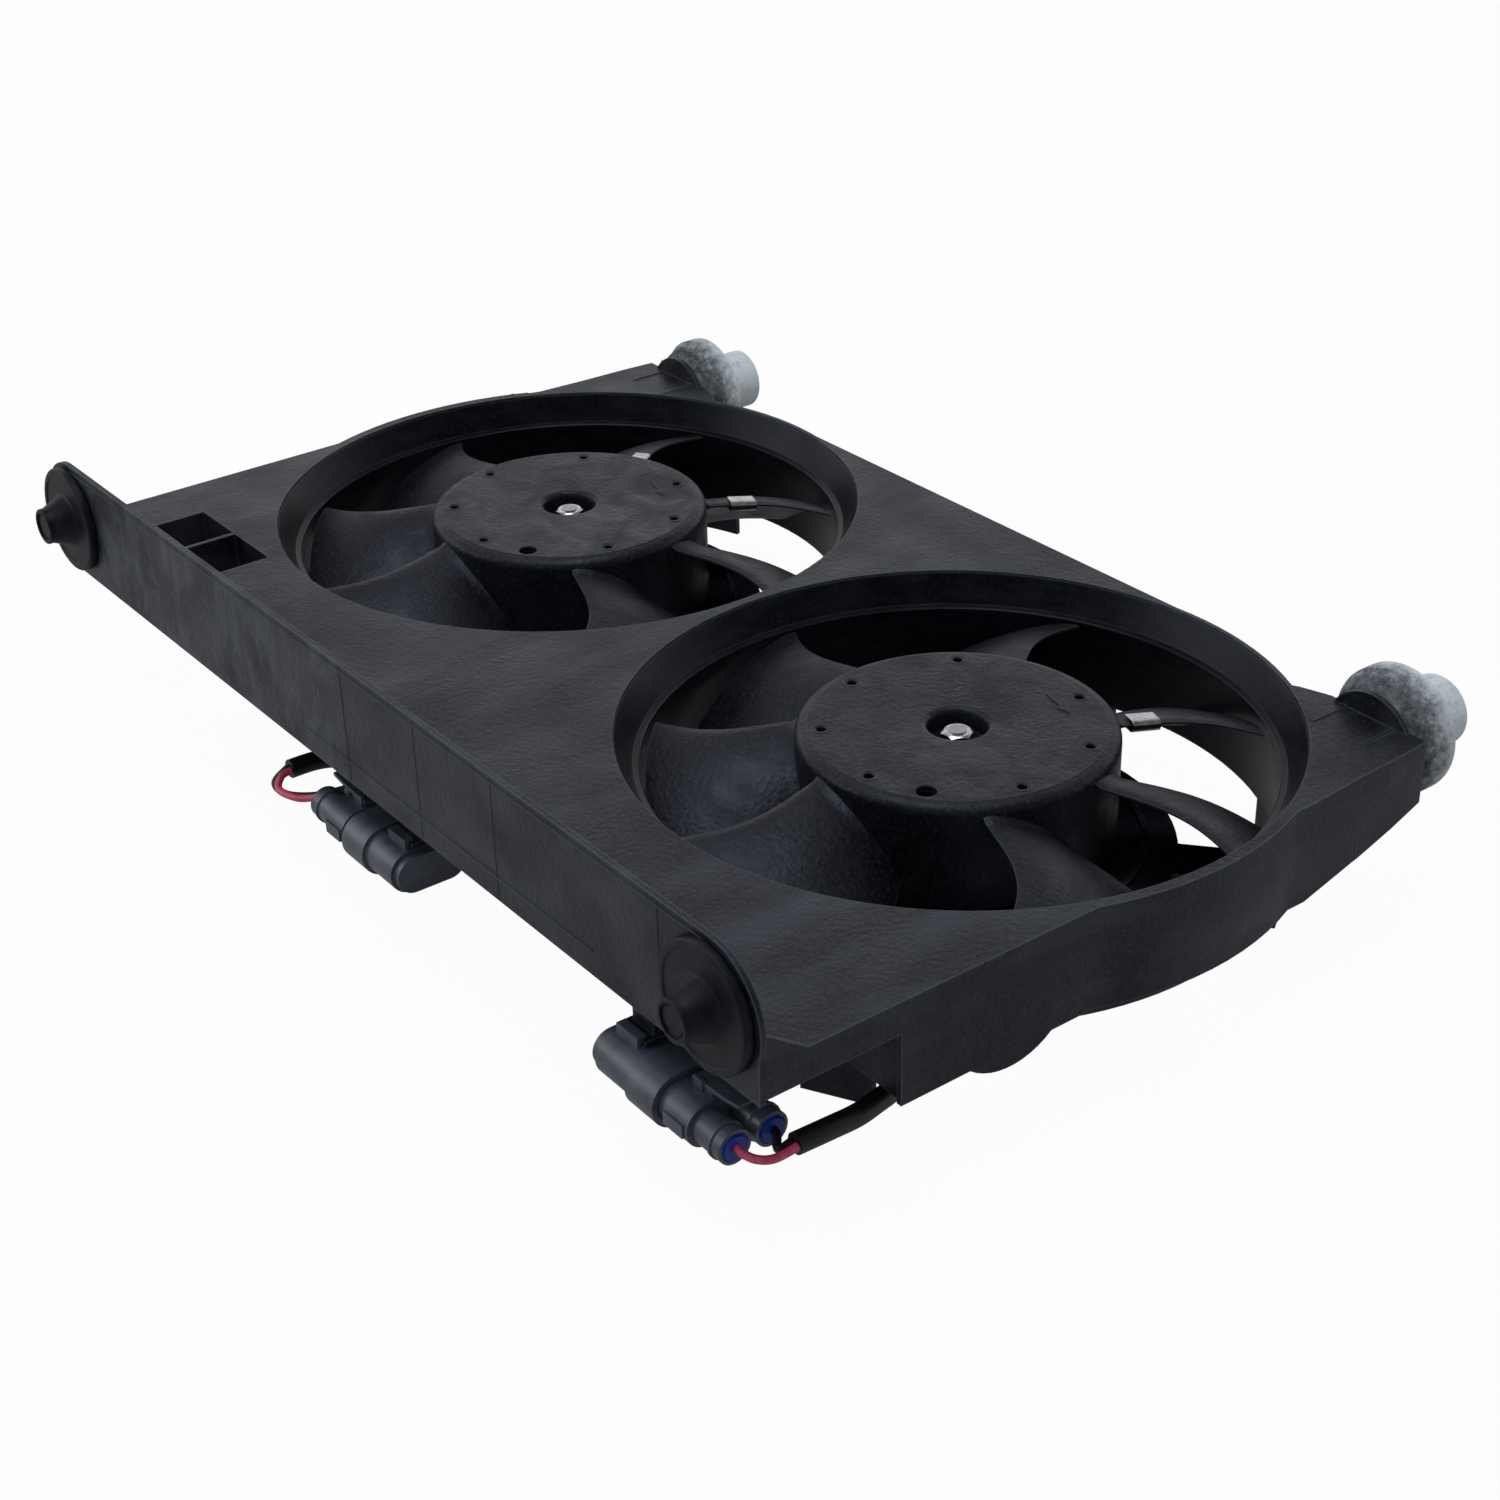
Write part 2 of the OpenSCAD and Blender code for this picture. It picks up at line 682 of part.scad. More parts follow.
function blade_z(u, v) =
    let (rise = max(0, (u - winglet_start) / (1 - winglet_start)),
         rim = winglet_lead_z + (winglet_trail_z - winglet_lead_z) * v,
         base = blade_base_z(u, v))
    base + (rim - base) * pow(rise, winglet_power);

function blade_point(u, v) =
    let (r = hub_r - hub_wall / 2 + (tip_r - blade_t / 2 - hub_r + hub_wall / 2) * u,
         a = (root_chord + (tip_chord - root_chord) * u * u) * v)
    [r * cos(a), r * sin(a), blade_z(u, v)];

function blade_normal(u, v) =
    let (e = 0.01, u0 = max(u - e, 0), v0 = max(v - e, 0))
    unit(cross(blade_point(u + e, v) - blade_point(u0, v), blade_point(u, v + e) - blade_point(u, v0)));

// Stations crowd towards the tip, where the blade turns up
function station(i) = 1 - pow(1 - i / blade_steps_r, 1.6);

module blade() {
    columns = blade_steps_c + 1;
    rows = blade_steps_r + 1;
    layer = rows * columns;
    points = [
        for (s = [1, -1], i = [0 : blade_steps_r], k = [0 : blade_steps_c])
            let (u = station(i), v = k / blade_steps_c)
            blade_point(u, v) + s * blade_t / 2 * blade_normal(u, v)
    ];
    function at(s, i, k) = s * layer + i * columns + k;
    top = [
        for (i = [0 : blade_steps_r - 1], k = [0 : blade_steps_c - 1], half = [0, 1])
            half == 0 ? [at(0, i, k), at(0, i, k + 1), at(0, i + 1, k + 1)]
                : [at(0, i, k), at(0, i + 1, k + 1), at(0, i + 1, k)]
    ];
    bottom = [for (f = top) [f[2] + layer, f[1] + layer, f[0] + layer]];
    root_and_tip = [
        for (k = [0 : blade_steps_c - 1], end = [0, 1])
            let (i = end * blade_steps_r)
            end == 0 ? [at(0, i, k), at(1, i, k), at(1, i, k + 1), at(0, i, k + 1)]
                : [at(0, i, k + 1), at(1, i, k + 1), at(1, i, k), at(0, i, k)]
    ];
    edges = [
        for (i = [0 : blade_steps_r - 1], end = [0, 1])
            let (k = end * blade_steps_c)
            end == 0 ? [at(0, i + 1, k), at(1, i + 1, k), at(1, i, k), at(0, i, k)]
                : [at(0, i, k), at(1, i, k), at(1, i + 1, k), at(0, i + 1, k)]
    ];
    split = [
        for (q = concat(root_and_tip, edges), half = [0, 1])
            half == 0 ? [q[0], q[1], q[2]] : [q[0], q[2], q[3]]
    ];
    polyhedron(points, concat(top, bottom, split), convexity = 10);
}

module hub_shell() {
    skirt = hub_top - hub_h;
    inner = hub_r - hub_wall;
    round_points = [
        for (k = [0 : 5])
            let (a = 18 * k)
            [hub_r - hub_rim_round + hub_rim_round * sin(a), hub_top - hub_rim_round + hub_rim_round * cos(a)]
    ];
    rotate_extrude($fn = big_fn) polygon(concat(
        [[recess_r, hub_top - 0.6], [recess_r + 0.6, hub_top]],
        round_points,
        [[hub_r, skirt], [inner, skirt], [inner, hub_top - hub_rim_round - 1],
         [inner - 2, hub_top - hub_wall - 0.6], [hub_boss_r, hub_top - hub_wall],
         [hub_boss_r - 1, boss_bottom], [thread_r + press_gap, boss_bottom],
         [thread_r + press_gap, recess_floor], [recess_r, recess_floor]]
    ));
}

module fan() {
    difference() {
        union() {
            hub_shell();
            for (a = blade_angles) rotate(a) blade();
            for (a = hub_hole_angles)
                rotate(a) translate([hub_hole_ring_r, 0, hub_top - 1])
                    cylinder(h = 1.5, r = 2 * hub_hole_r, $fn = 32);
        }
        for (a = hub_hole_angles)
            rotate(a) translate([hub_hole_ring_r, 0, hub_top - 2])
                cylinder(h = 4, r = hub_hole_r, $fn = 32);
        rotate(hub_big_hole_angle) translate([hub_hole_ring_r, 0, hub_top - 6])
            cylinder(h = 8, r = hub_big_hole_r, $fn = 32);
    }
}

module fan_colored(side) {
    color([0.1, 0.1, 0.11]) at_fan(side) fan();
}

module fan_washer(side) {
    color("silver") at_fan(side)
        ring(washer_r, thread_r + press_gap, recess_floor, recess_floor + washer_t, 64);
}

module fan_nut(side) {
    color("silver") at_fan(side) difference() {
        translate([0, 0, recess_floor + washer_t]) intersection() {
            cylinder(h = nut_h, r = nut_af / 2 / cos(30), $fn = 6);
            union() {
                cylinder(h = nut_h - 1, r = nut_af / 2 / cos(30));
                translate([0, 0, nut_h - 1 - lap])
                    cylinder(h = 1 + lap, r1 = nut_af / 2 / cos(30), r2 = nut_af / 2 - 0.6);
            }
        }
        translate([0, 0, recess_floor]) cylinder(h = 2 * nut_h, r = thread_r + press_gap);
    }
}

// Spring clip over a leading edge: reach along the blade from the axis, blade by number
module balance_clip(blade, reach) {
    clip_l = 14;
    clip_t = 0.8;
    chord = 8;
    u = (reach - hub_r) / (tip_r - hub_r);
    tilt = atan((root_lead_z - tip_lead_z) / (tip_r - hub_r));
    gap = seat_gap / 2;
    rotate(blade_angles[blade])
        translate([reach, 0, blade_z(u, 0)]) rotate([0, tilt, 0]) translate([-clip_l / 2, 0, 0]) {
            box([0, -gap - clip_t, blade_t / 2 + gap], [clip_l, chord, blade_t / 2 + gap + clip_t]);
            box([0, -gap - clip_t, -blade_t / 2 - 1.4], [clip_l, -gap, blade_t / 2 + gap + clip_t]);
            box([0, -gap - clip_t, -blade_t / 2 - 1.4 - clip_t], [clip_l, chord, -blade_t / 2 - 1.4]);
        }
}

module right_balance_clip() {
    color("silver") at_fan(1) balance_clip(1, right_clip_reach);
}

module left_balance_clips() {
    color("silver") at_fan(-1) {
        balance_clip(2, left_inner_clip_reach);
        balance_clip(1, left_outer_clip_reach);
    }
}

// Motor

module motor_can(side) {
    color([0.2, 0.2, 0.21]) at_fan(side) {
        ring(motor_r, can_inner_r, can_bottom, can_top, 128);
        ring(motor_r - 1, bearing_r, can_top - can_t, can_top, 128);
        ring(bearing_r + bearing_wall, bearing_r, front_bearing_top - bearing_l, neck_top, 64);
        ring(bearing_r + 1, shaft_r + 1.2, neck_top - can_t + press_gap, neck_top, 64);
        for (a = lug_angles) rotate(a) motor_lug();
    }
}

module motor_lug() {
    difference() {
        union() {
            translate([screw_ring_r, 0, carrier_z]) cylinder(h = lug_t, r = lug_r);
            box([motor_r - can_t / 2, -lug_r, carrier_z], [screw_ring_r, lug_r, carrier_z + lug_t]);
        }
        translate([screw_ring_r, 0, carrier_z - 1]) cylinder(h = lug_t + 2, r = screw_r + 0.2, $fn = 32);
        translate([0, 0, carrier_z - 1]) cylinder(h = lug_t + 2, r = motor_r - can_t / 2, $fn = 128);
    }
}

module motor_screws(side) {
    head_r = 1.8 * screw_r;
    head_h = 3;
    seat = carrier_z + lug_t;
    color("silver") at_fan(side) for (a = lug_angles)
        rotate(a) translate([screw_ring_r, 0, 0]) {
            translate([0, 0, seat - lug_t - carrier_t - 6])
                cylinder(h = lug_t + carrier_t + 6 + lap, r = screw_r, $fn = 32);
            difference() {
                translate([0, 0, seat]) cylinder(h = head_h, r = head_r);
                translate([0, 0, seat + head_h - 1.6]) cylinder(h = 2, r = screw_r * 0.9, $fn = 6);
            }
        }
}

module motor_end_cap(side) {
    step_z = card_top - card_t;
    color([0.2, 0.2, 0.21]) at_fan(side) {
        rotate_extrude($fn = 128) polygon([
            [0, -motor_back], [motor_r - 3, -motor_back], [motor_r, -motor_back + 3],
            [motor_r, can_bottom], [can_inner_r, can_bottom], [can_inner_r, step_z],
            [can_inner_r - 2.5, step_z], [can_inner_r - 2.5, -motor_back + can_t],
            [bearing_r + bearing_wall, -motor_back + can_t],
            [bearing_r + bearing_wall, -motor_back + can_t + bearing_l],
            [bearing_r, -motor_back + can_t + bearing_l], [bearing_r, -motor_back + can_t],
            [0, -motor_back + can_t]
        ]);
        rotate(arm_angles[3]) translate([can_inner_r, 0, lead_entry_z]) rotate([0, 90, 0])
            cylinder(h = lead_entry_r - can_inner_r, r = sleeve_r + 1.4);
    }
}

module motor_shaft(side) {
    color("silver") at_fan(side) {
        thread_top = recess_floor + washer_t + nut_h + 0.6;
        translate([0, 0, boss_bottom - lap]) cylinder(h = thread_top - boss_bottom + lap, r = thread_r);
        translate([0, 0, shaft_rear_z]) cylinder(h = boss_bottom - shaft_rear_z, r = shaft_r);
    }
}

module armature(side) {
    color([0.45, 0.45, 0.47]) at_fan(side) translate([0, 0, stack_bottom]) difference() {
        cylinder(h = stack_top - stack_bottom, r = stack_r);
        translate([0, 0, -1]) cylinder(h = stack_top - stack_bottom + 2, r = shaft_r + press_gap);
        for (k = [0 : stack_slots - 1])
            rotate(360 * k / stack_slots) {
                box([stack_r - 14, -3, -1], [stack_r - 3, 3, stack_top - stack_bottom + 1]);
                box([stack_r - 4, -1, -1], [stack_r + 1, 1, stack_top - stack_bottom + 1]);
            }
    }
}

// Coil heads above and below the stack
module windings(side) {
    coil_round = 2;
    color([0.72, 0.4, 0.2]) at_fan(side) for (up = [0, 1])
        translate([0, 0, up == 1 ? stack_top : stack_bottom - coil_h]) rotate_extrude() polygon([
            [shaft_r + 9, 0], [coil_r - (1 - up) * coil_round, 0], [coil_r, (1 - up) * coil_round],
            [coil_r, coil_h - up * coil_round], [coil_r - up * coil_round, coil_h], [shaft_r + 9, coil_h]
        ]);
}

module commutator(side) {
    color([0.8, 0.5, 0.3]) at_fan(side) difference() {
        ring(commutator_r, shaft_r + press_gap, commutator_bottom, commutator_top, 96);
        for (k = [0 : stack_slots - 1])
            rotate(360 * (k + 0.5) / stack_slots)
                box([commutator_r - 1.2, -0.3, commutator_bottom - 1],
                    [commutator_r + 1, 0.3, commutator_top - 2]);
    }
}

module magnets(side) {
    magnet_angle = 74;
    color([0.25, 0.24, 0.24]) at_fan(side) for (k = [0 : 3])
        rotate(90 * k - magnet_angle / 2) translate([0, 0, magnet_bottom])
            rotate_extrude(angle = magnet_angle, $fn = 128)
                translate([can_inner_r - magnet_t, 0])
                    square([magnet_t - press_gap, magnet_top - magnet_bottom]);
}

module bearing(side, low) {
    color([0.6, 0.48, 0.3]) at_fan(side)
        ring(bearing_r - press_gap, shaft_r + running_gap, low, low + bearing_l - press_gap, 64);
}

module brush_card(side) {
    inner = commutator_r + 2;
    brush_back = commutator_r + brush_l;
    gap = 0.15;
    stop = brush_back + spring_l + 2 * gap;
    half_w = brush_w / 2 + gap;
    half_h = brush_h / 2 + gap;
    color([0.35, 0.28, 0.2]) at_fan(side) {
        ring(can_inner_r - seat_gap, inner, card_top - card_t, card_top, 96);
        for (turn = [0, 180]) rotate(turn) difference() {
            box([inner, -half_w - holder_wall, card_top - lap],
                [stop + holder_wall, half_w + holder_wall, brush_z + half_h + 1.2]);
            box([inner - 1, -half_w, brush_z - half_h], [stop, half_w, brush_z + half_h]);
        }
    }
}

module brushes(side) {
    color([0.2, 0.2, 0.2]) at_fan(side) for (turn = [0, 180]) rotate(turn) difference() {
        box([commutator_r - 1, -brush_w / 2, brush_z - brush_h / 2],
            [commutator_r + brush_l, brush_w / 2, brush_z + brush_h / 2]);
        translate([0, 0, brush_z - brush_h]) cylinder(h = 2 * brush_h, r = commutator_r + 0.06, $fn = 96);
    }
}

module brush_springs(side) {
    steps = 8;
    first = commutator_r + brush_l + 0.15 + spring_wire_r;
    pitch = (spring_l - 2 * spring_wire_r) / spring_turns;
    coil = [
        for (k = [0 : spring_turns * steps])
            let (a = 360 * k / steps)
            [first + pitch * k / steps, spring_r * cos(a), brush_z + spring_r * sin(a)]
    ];
    color("silver") at_fan(side) for (turn = [0, 180]) rotate(turn) swept_tube(coil, spring_wire_r, 5);
}

// Peg grommet, turned about the peg axis: radius, then distance out of the wall
module peg_grommet(side) {
    neck_r = grommet_hole_r - 0.1;
    lip_r = peg_z - seat_gap;
    lip_t = 3;
    inside = -wall_t - seat_gap;
    out = seat_gap + flange_t;
    land = 3;
    edge = 0.8;
    color([0.12, 0.12, 0.13]) placed()
        translate([side * peg_spacing / 2, -pin_wall_y, peg_z]) rotate([90, 0, 0])
            rotate_extrude() polygon([
                [0, inside - lip_t], [lip_r - 1, inside - lip_t], [lip_r, inside - lip_t + 1],
                [lip_r, inside], [neck_r, inside], [neck_r, seat_gap], [flange_r - edge, seat_gap],
                [flange_r, seat_gap + edge], [flange_r, out - edge], [flange_r - edge, out],
                [peg_base_r + 2, out], [peg_base_r, out + 0.6], [peg_tip_r, out + peg_l - land],
                [peg_tip_r, out + peg_l], [peg_tip_r - 2.5, out + peg_l],
                [peg_tip_r - 2.5, out + peg_l - 0.8], [0, out + peg_l - 0.8]
            ]);
}

// Isolator, turned about its axis: radius, then distance from its seat
module isolator(x, y) {
    drum_start = 11;
    drum_end = 21;
    bore_r = stud_r + 0.1;
    bore_l = isolator_l - 12 + seat_gap;
    color([0.62, 0.63, 0.64]) placed() translate([x, y, -isolator_drop]) rotate([-90, 0, 0])
        rotate_extrude() polygon([
            [bore_r, 0], [boss_r, 0], [isolator_r - 0.7, drum_start], [isolator_r, drum_start + 0.5],
            [isolator_r, drum_end - 1], [isolator_r - 1, drum_end], [isolator_tail_r + 1.5, drum_end],
            [isolator_tail_r, drum_end + 1.5], [isolator_tail_r, isolator_l - 1.2],
            [isolator_tail_r - 1.2, isolator_l], [0, isolator_l], [0, bore_l], [bore_r, bore_l]
        ]);
}

// Plugs: each is drawn along +X from its wire end, then turned and placed

module at_plug(plug, turn) {
    placed() translate([plug.x, plug.y, -plug_drop]) rotate(turn) children();
}

// Long round-ended bar along X
module round_bar(r, low, high) {
    half = barrel_spacing / 2;
    translate([low, 0, 0]) rotate([90, 0, 90]) linear_extrude(high - low) {
        for (s = [-1, 1]) translate([s * half, 0]) circle(r = r);
        square([2 * half, 2 * r], center = true);
    }
}

module plug_housing(plug, turn) {
    color([0.14, 0.15, 0.17]) at_plug(plug, turn) {
        for (s = [-1, 1])
            translate([0, s * barrel_spacing / 2, 0]) rotate([0, 90, 0]) difference() {
                union() {
                    cylinder(h = barrel_l, r = barrel_r);
                    translate([0, 0, 5]) cylinder(h = 1.5, r = barrel_r + 0.7);
                }
                translate([0, 0, -1]) cylinder(h = 13, r = seal_r + press_gap);
            }
        round_bar(body_r, body_start, collar_start - 4);
        round_bar(body_r - 0.8, collar_start - 4 - lap, body_end);
        for (s = [-1, 1])
            box([body_start + 2, s * (barrel_spacing / 2 + body_r) - 0.8, -3],
                [collar_start - 5, s * (barrel_spacing / 2 + body_r) + 0.8, 3]);
    }
}

module plug_mate(plug, turn) {
    collar_r = body_r + collar_wall;
    rail_low = mate_r - 3;
    rail_gap = mate_r + seat_gap + 2.4 + seat_gap;
    color([0.13, 0.14, 0.15]) at_plug(plug, turn) {
        difference() {
            round_bar(collar_r, collar_start, collar_end);
            round_bar(body_r - 0.8 + seat_gap, collar_start - 1, body_end + seat_gap);
        }
        round_bar(mate_r, collar_end - lap, plug_l - 4);
        round_bar(mate_r - 1.5, plug_l - 4 - lap, plug_l);
        for (s = [-1, 1]) {
            box([rail_start, min(s * 7.3, s * 9.3), rail_low],
                [rail_end, max(s * 7.3, s * 9.3), rail_gap + 1.6]);
            box([rail_start, min(s * 5, s * 9.3), rail_gap],
                [rail_end, max(s * 5, s * 9.3), rail_gap + 1.6]);
        }
    }
}

module plug_latch(plug, turn) {
    seat = body_r + 0.05;
    half_w = 4.5;
    color([0.15, 0.16, 0.18]) at_plug(plug, turn) {
        translate([0, half_w, 0]) rotate([90, 0, 0]) linear_extrude(2 * half_w) polygon([
            [31, seat], [31, seat + 3], [12, seat + 4], [3, seat + 5.5], [3, seat + 3.8], [12, seat + 2.3],
            [19, seat + 1.6], [19, seat]
        ]);
        for (s = [-1, 1])
            box([24, s * half_w - 1, seat], [30, s * half_w + 1, seat + 4.5]);
    }
}

module wire_seals(plug, turn) {
    color([0.05, 0.15, 0.6]) at_plug(plug, turn) for (s = [-1, 1])
        translate([-1.2, s * barrel_spacing / 2, 0]) rotate([0, 90, 0]) {
            cylinder(h = 12, r = seal_r - 0.8);
            for (x = [1.5, 5, 8.5])
                translate([0, 0, x]) cylinder(h = 1.8, r = seal_r);
        }
}

module wire(route, tint) {
    color(tint) placed() swept_tube(smooth_path(route, 4), wire_r, 8);
}

module lead_sleeve(route) {
    color([0.12, 0.12, 0.13]) placed() swept_tube(smooth_path(route, 3), sleeve_r, 10);
}

shroud();
fan_colored(1);  // right_fan
fan_colored(-1);  // left_fan
fan_nut(1);  // right_fan_nut
fan_nut(-1);  // left_fan_nut
fan_washer(1);  // right_fan_washer
fan_washer(-1);  // left_fan_washer
right_balance_clip();
left_balance_clips();
motor_can(1);  // right_motor_can
motor_can(-1);  // left_motor_can
motor_end_cap(1);  // right_motor_end_cap
motor_end_cap(-1);  // left_motor_end_cap
motor_shaft(1);  // right_motor_shaft
motor_shaft(-1);  // left_motor_shaft
armature(1);  // right_armature
armature(-1);  // left_armature
windings(1);  // right_windings
windings(-1);  // left_windings
commutator(1);  // right_commutator
commutator(-1);  // left_commutator
magnets(1);  // right_magnets
magnets(-1);  // left_magnets
bearing(1, front_bearing_top - bearing_l);  // right_front_bearing
bearing(-1, front_bearing_top - bearing_l);  // left_front_bearing
bearing(1, rear_bearing_bottom);  // right_rear_bearing
bearing(-1, rear_bearing_bottom);  // left_rear_bearing
brush_card(1);  // right_brush_card
brush_card(-1);  // left_brush_card
brushes(1);  // right_brushes
brushes(-1);  // left_brushes
brush_springs(1);  // right_brush_springs
brush_springs(-1);  // left_brush_springs
motor_screws(1);  // right_motor_screws
motor_screws(-1);  // left_motor_screws
peg_grommet(1);  // right_peg_grommet
peg_grommet(-1);  // left_peg_grommet
isolator(isolator_right_x, isolator_right_y);  // right_isolator
isolator(-isolator_left_x, isolator_left_y);  // left_isolator
plug_housing(right_plug, 180);  // right_plug_housing
plug_housing(left_plug, 0);  // left_plug_housing
plug_mate(right_plug, 180);  // right_plug_mate
plug_mate(left_plug, 0);  // left_plug_mate
plug_latch(right_plug, 180);  // right_plug_latch
plug_latch(left_plug, 0);  // left_plug_latch
wire_seals(right_plug, 180);  // right_wire_seals
wire_seals(left_plug, 0);  // left_wire_seals
wire(right_power_route, [0.75, 0.1, 0.2]);  // right_power_wire
wire(left_power_route, [0.75, 0.1, 0.2]);  // left_power_wire
wire(right_ground_route, [0.1, 0.1, 0.1]);  // right_ground_wire
wire(left_ground_route, [0.1, 0.1, 0.1]);  // left_ground_wire
lead_sleeve(right_sleeve_route);  // right_lead_sleeve
lead_sleeve(left_sleeve_route);  // left_lead_sleeve
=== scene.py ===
import json
import math
import bpy
import bmesh
from mathutils import Matrix, Vector


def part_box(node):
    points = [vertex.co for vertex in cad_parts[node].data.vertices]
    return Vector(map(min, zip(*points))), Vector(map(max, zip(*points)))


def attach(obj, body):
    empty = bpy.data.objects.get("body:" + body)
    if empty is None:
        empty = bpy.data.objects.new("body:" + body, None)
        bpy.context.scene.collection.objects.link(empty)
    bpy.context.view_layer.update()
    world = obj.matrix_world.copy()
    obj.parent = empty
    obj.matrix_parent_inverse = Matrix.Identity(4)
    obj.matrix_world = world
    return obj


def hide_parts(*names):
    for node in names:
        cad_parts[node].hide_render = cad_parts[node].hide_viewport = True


# Twin radiator fan module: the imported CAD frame, dressed with its finishes and finer forms

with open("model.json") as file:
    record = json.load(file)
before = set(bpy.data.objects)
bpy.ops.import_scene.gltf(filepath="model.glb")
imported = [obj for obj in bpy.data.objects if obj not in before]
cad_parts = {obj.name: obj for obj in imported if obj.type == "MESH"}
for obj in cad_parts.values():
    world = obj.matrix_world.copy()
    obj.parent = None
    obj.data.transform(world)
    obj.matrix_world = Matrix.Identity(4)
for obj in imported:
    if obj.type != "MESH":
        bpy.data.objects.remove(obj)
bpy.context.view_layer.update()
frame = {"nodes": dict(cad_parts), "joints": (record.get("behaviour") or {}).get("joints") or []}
MM = 0.001
SIDES = ("right", "left")

# The frame's own places: fan axes, panel top and the outer face of the pin wall.
# HUB_DROP is how far the hubs' faces lie below the panel top, in millimetres.
FAN_AXIS = {
    joint["name"].split("_")[0]: Vector(joint["pos_m"][:2]) for joint in frame["joints"]
}
HUB_DROP = 2.0
PANEL_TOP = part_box("right_fan")[1].z + HUB_DROP * MM
WALL_FACE_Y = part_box("shroud")[0].y


# Node helpers

def linear(hex_colour):
    """sRGB hex to the linear colour that Blender works in."""
    channels = [int(hex_colour[i:i + 2], 16) / 255 for i in (1, 3, 5)]
    return tuple(c / 12.92 if c <= 0.04045 else ((c + 0.055) / 1.055) ** 2.4 for c in channels) + (1.0,)


def add_node(tree, kind, settings=None, links=None):
    """Adds a node, sets its properties or socket values, and links its sockets."""
    node = tree.nodes.new(kind)
    for name, value in (settings or {}).items():
        if isinstance(name, str) and hasattr(node, name):
            setattr(node, name, value)
        else:
            node.inputs[name].default_value = value
    for socket, source in (links or {}).items():
        tree.links.new(source, node.inputs[socket])
    return node


def surface(name, colour, roughness, metallic=0.0, ior=1.5, specular=0.5, tint="#ffffff"):
    """A material with a Principled shader: returns material, tree, shader and object coordinates."""
    material = bpy.data.materials.new(name)
    material.use_nodes = True
    tree = material.node_tree
    shader = tree.nodes["Principled BSDF"]
    shader.inputs["Base Color"].default_value = linear(colour)
    shader.inputs["Roughness"].default_value = roughness
    shader.inputs["Metallic"].default_value = metallic
    if metallic == 0.0:
        shader.inputs["IOR"].default_value = ior
        shader.inputs["Specular IOR Level"].default_value = specular
        shader.inputs["Specular Tint"].default_value = linear(tint)
    place = add_node(tree, "ShaderNodeTexCoord").outputs["Object"]
    return material, tree, shader, place


def per_metre(size_mm):
    """Texture scale whose features are about size_mm wide, for coordinates in metres."""
    return 1000.0 / size_mm


def vary_colour(tree, shader, place, size_mm, dark, light, low=0.35, high=0.65, detail=4.0):
    """Soft patches between two colours."""
    patches = add_node(tree, "ShaderNodeTexNoise", {"Scale": per_metre(size_mm), "Detail": detail},
                       {"Vector": place})
    ramp = add_node(tree, "ShaderNodeValToRGB", {}, {"Fac": patches.outputs["Fac"]})
    ramp.color_ramp.elements[0].position = low
    ramp.color_ramp.elements[0].color = linear(dark)
    ramp.color_ramp.elements[1].position = high
    ramp.color_ramp.elements[1].color = linear(light)
    tree.links.new(ramp.outputs["Color"], shader.inputs["Base Color"])
    return ramp.outputs["Color"]


def vary_sheen(tree, shader, place, size_mm, smooth, rough, detail, swirl=0.0):
    """Patches of lower and higher roughness, as the flow of the melt leaves them."""
    patches = add_node(tree, "ShaderNodeTexNoise",
                       {"Scale": per_metre(size_mm), "Detail": detail, "Distortion": swirl},
                       {"Vector": place})
    sheen = add_node(tree, "ShaderNodeMapRange",
                     {"From Min": 0.3, "From Max": 0.7, "To Min": smooth, "To Max": rough},
                     {"Value": patches.outputs["Fac"]})
    tree.links.new(sheen.outputs[0], shader.inputs["Roughness"])


def speckle(tree, shader, colour, place, size_mm, pale, low, high):
    """Pale grains over a colour, as coarse as they need to be to show at the render's size."""
    grains = add_node(tree, "ShaderNodeTexNoise",
                      {"Scale": per_metre(size_mm), "Detail": 5.0, "Roughness": 0.7}, {"Vector": place})
    amount = add_node(tree, "ShaderNodeMapRange", {"From Min": low, "From Max": high},
                      {"Value": grains.outputs["Fac"]})
    mixed = add_node(tree, "ShaderNodeMix", {"data_type": "RGBA"},
                     {"Factor": amount.outputs[0], "A": colour})
    mixed.inputs["B"].default_value = linear(pale)
    tree.links.new(mixed.outputs["Result"], shader.inputs["Base Color"])
    return mixed.outputs["Result"]


def paint_edge_highlight(tree, shader, colour, width_mm, pale, share):
    """Painted highlight: edges coloured paler where a rounded normal leaves the true one."""
    rounded = add_node(tree, "ShaderNodeBevel", {"samples": 6, "Radius": width_mm * MM})
    true = add_node(tree, "ShaderNodeNewGeometry")
    same = add_node(tree, "ShaderNodeVectorMath", {"operation": "DOT_PRODUCT"},
                    {0: rounded.outputs[0], 1: true.outputs["Normal"]})
    highlight_share = add_node(tree, "ShaderNodeMapRange", {"From Min": 0.98, "From Max": 0.8, "To Max": share},
                    {"Value": same.outputs["Value"]})
    mixed = add_node(tree, "ShaderNodeMix", {"data_type": "RGBA"},
                     {"Factor": highlight_share.outputs[0], "A": colour})
    mixed.inputs["B"].default_value = linear(pale)
    tree.links.new(mixed.outputs["Result"], shader.inputs["Base Color"])


def grain_bump(tree, shader, place, size_mm, depth_mm, strength=0.4, detail=3.0):
    """Fine raised grain of a real width and depth."""
    grain = add_node(tree, "ShaderNodeTexNoise", {"Scale": per_metre(size_mm), "Detail": detail},
                     {"Vector": place})
    bump = add_node(tree, "ShaderNodeBump", {"Strength": strength, "Distance": depth_mm * MM},
                    {"Height": grain.outputs["Fac"]})
    tree.links.new(bump.outputs["Normal"], shader.inputs["Normal"])


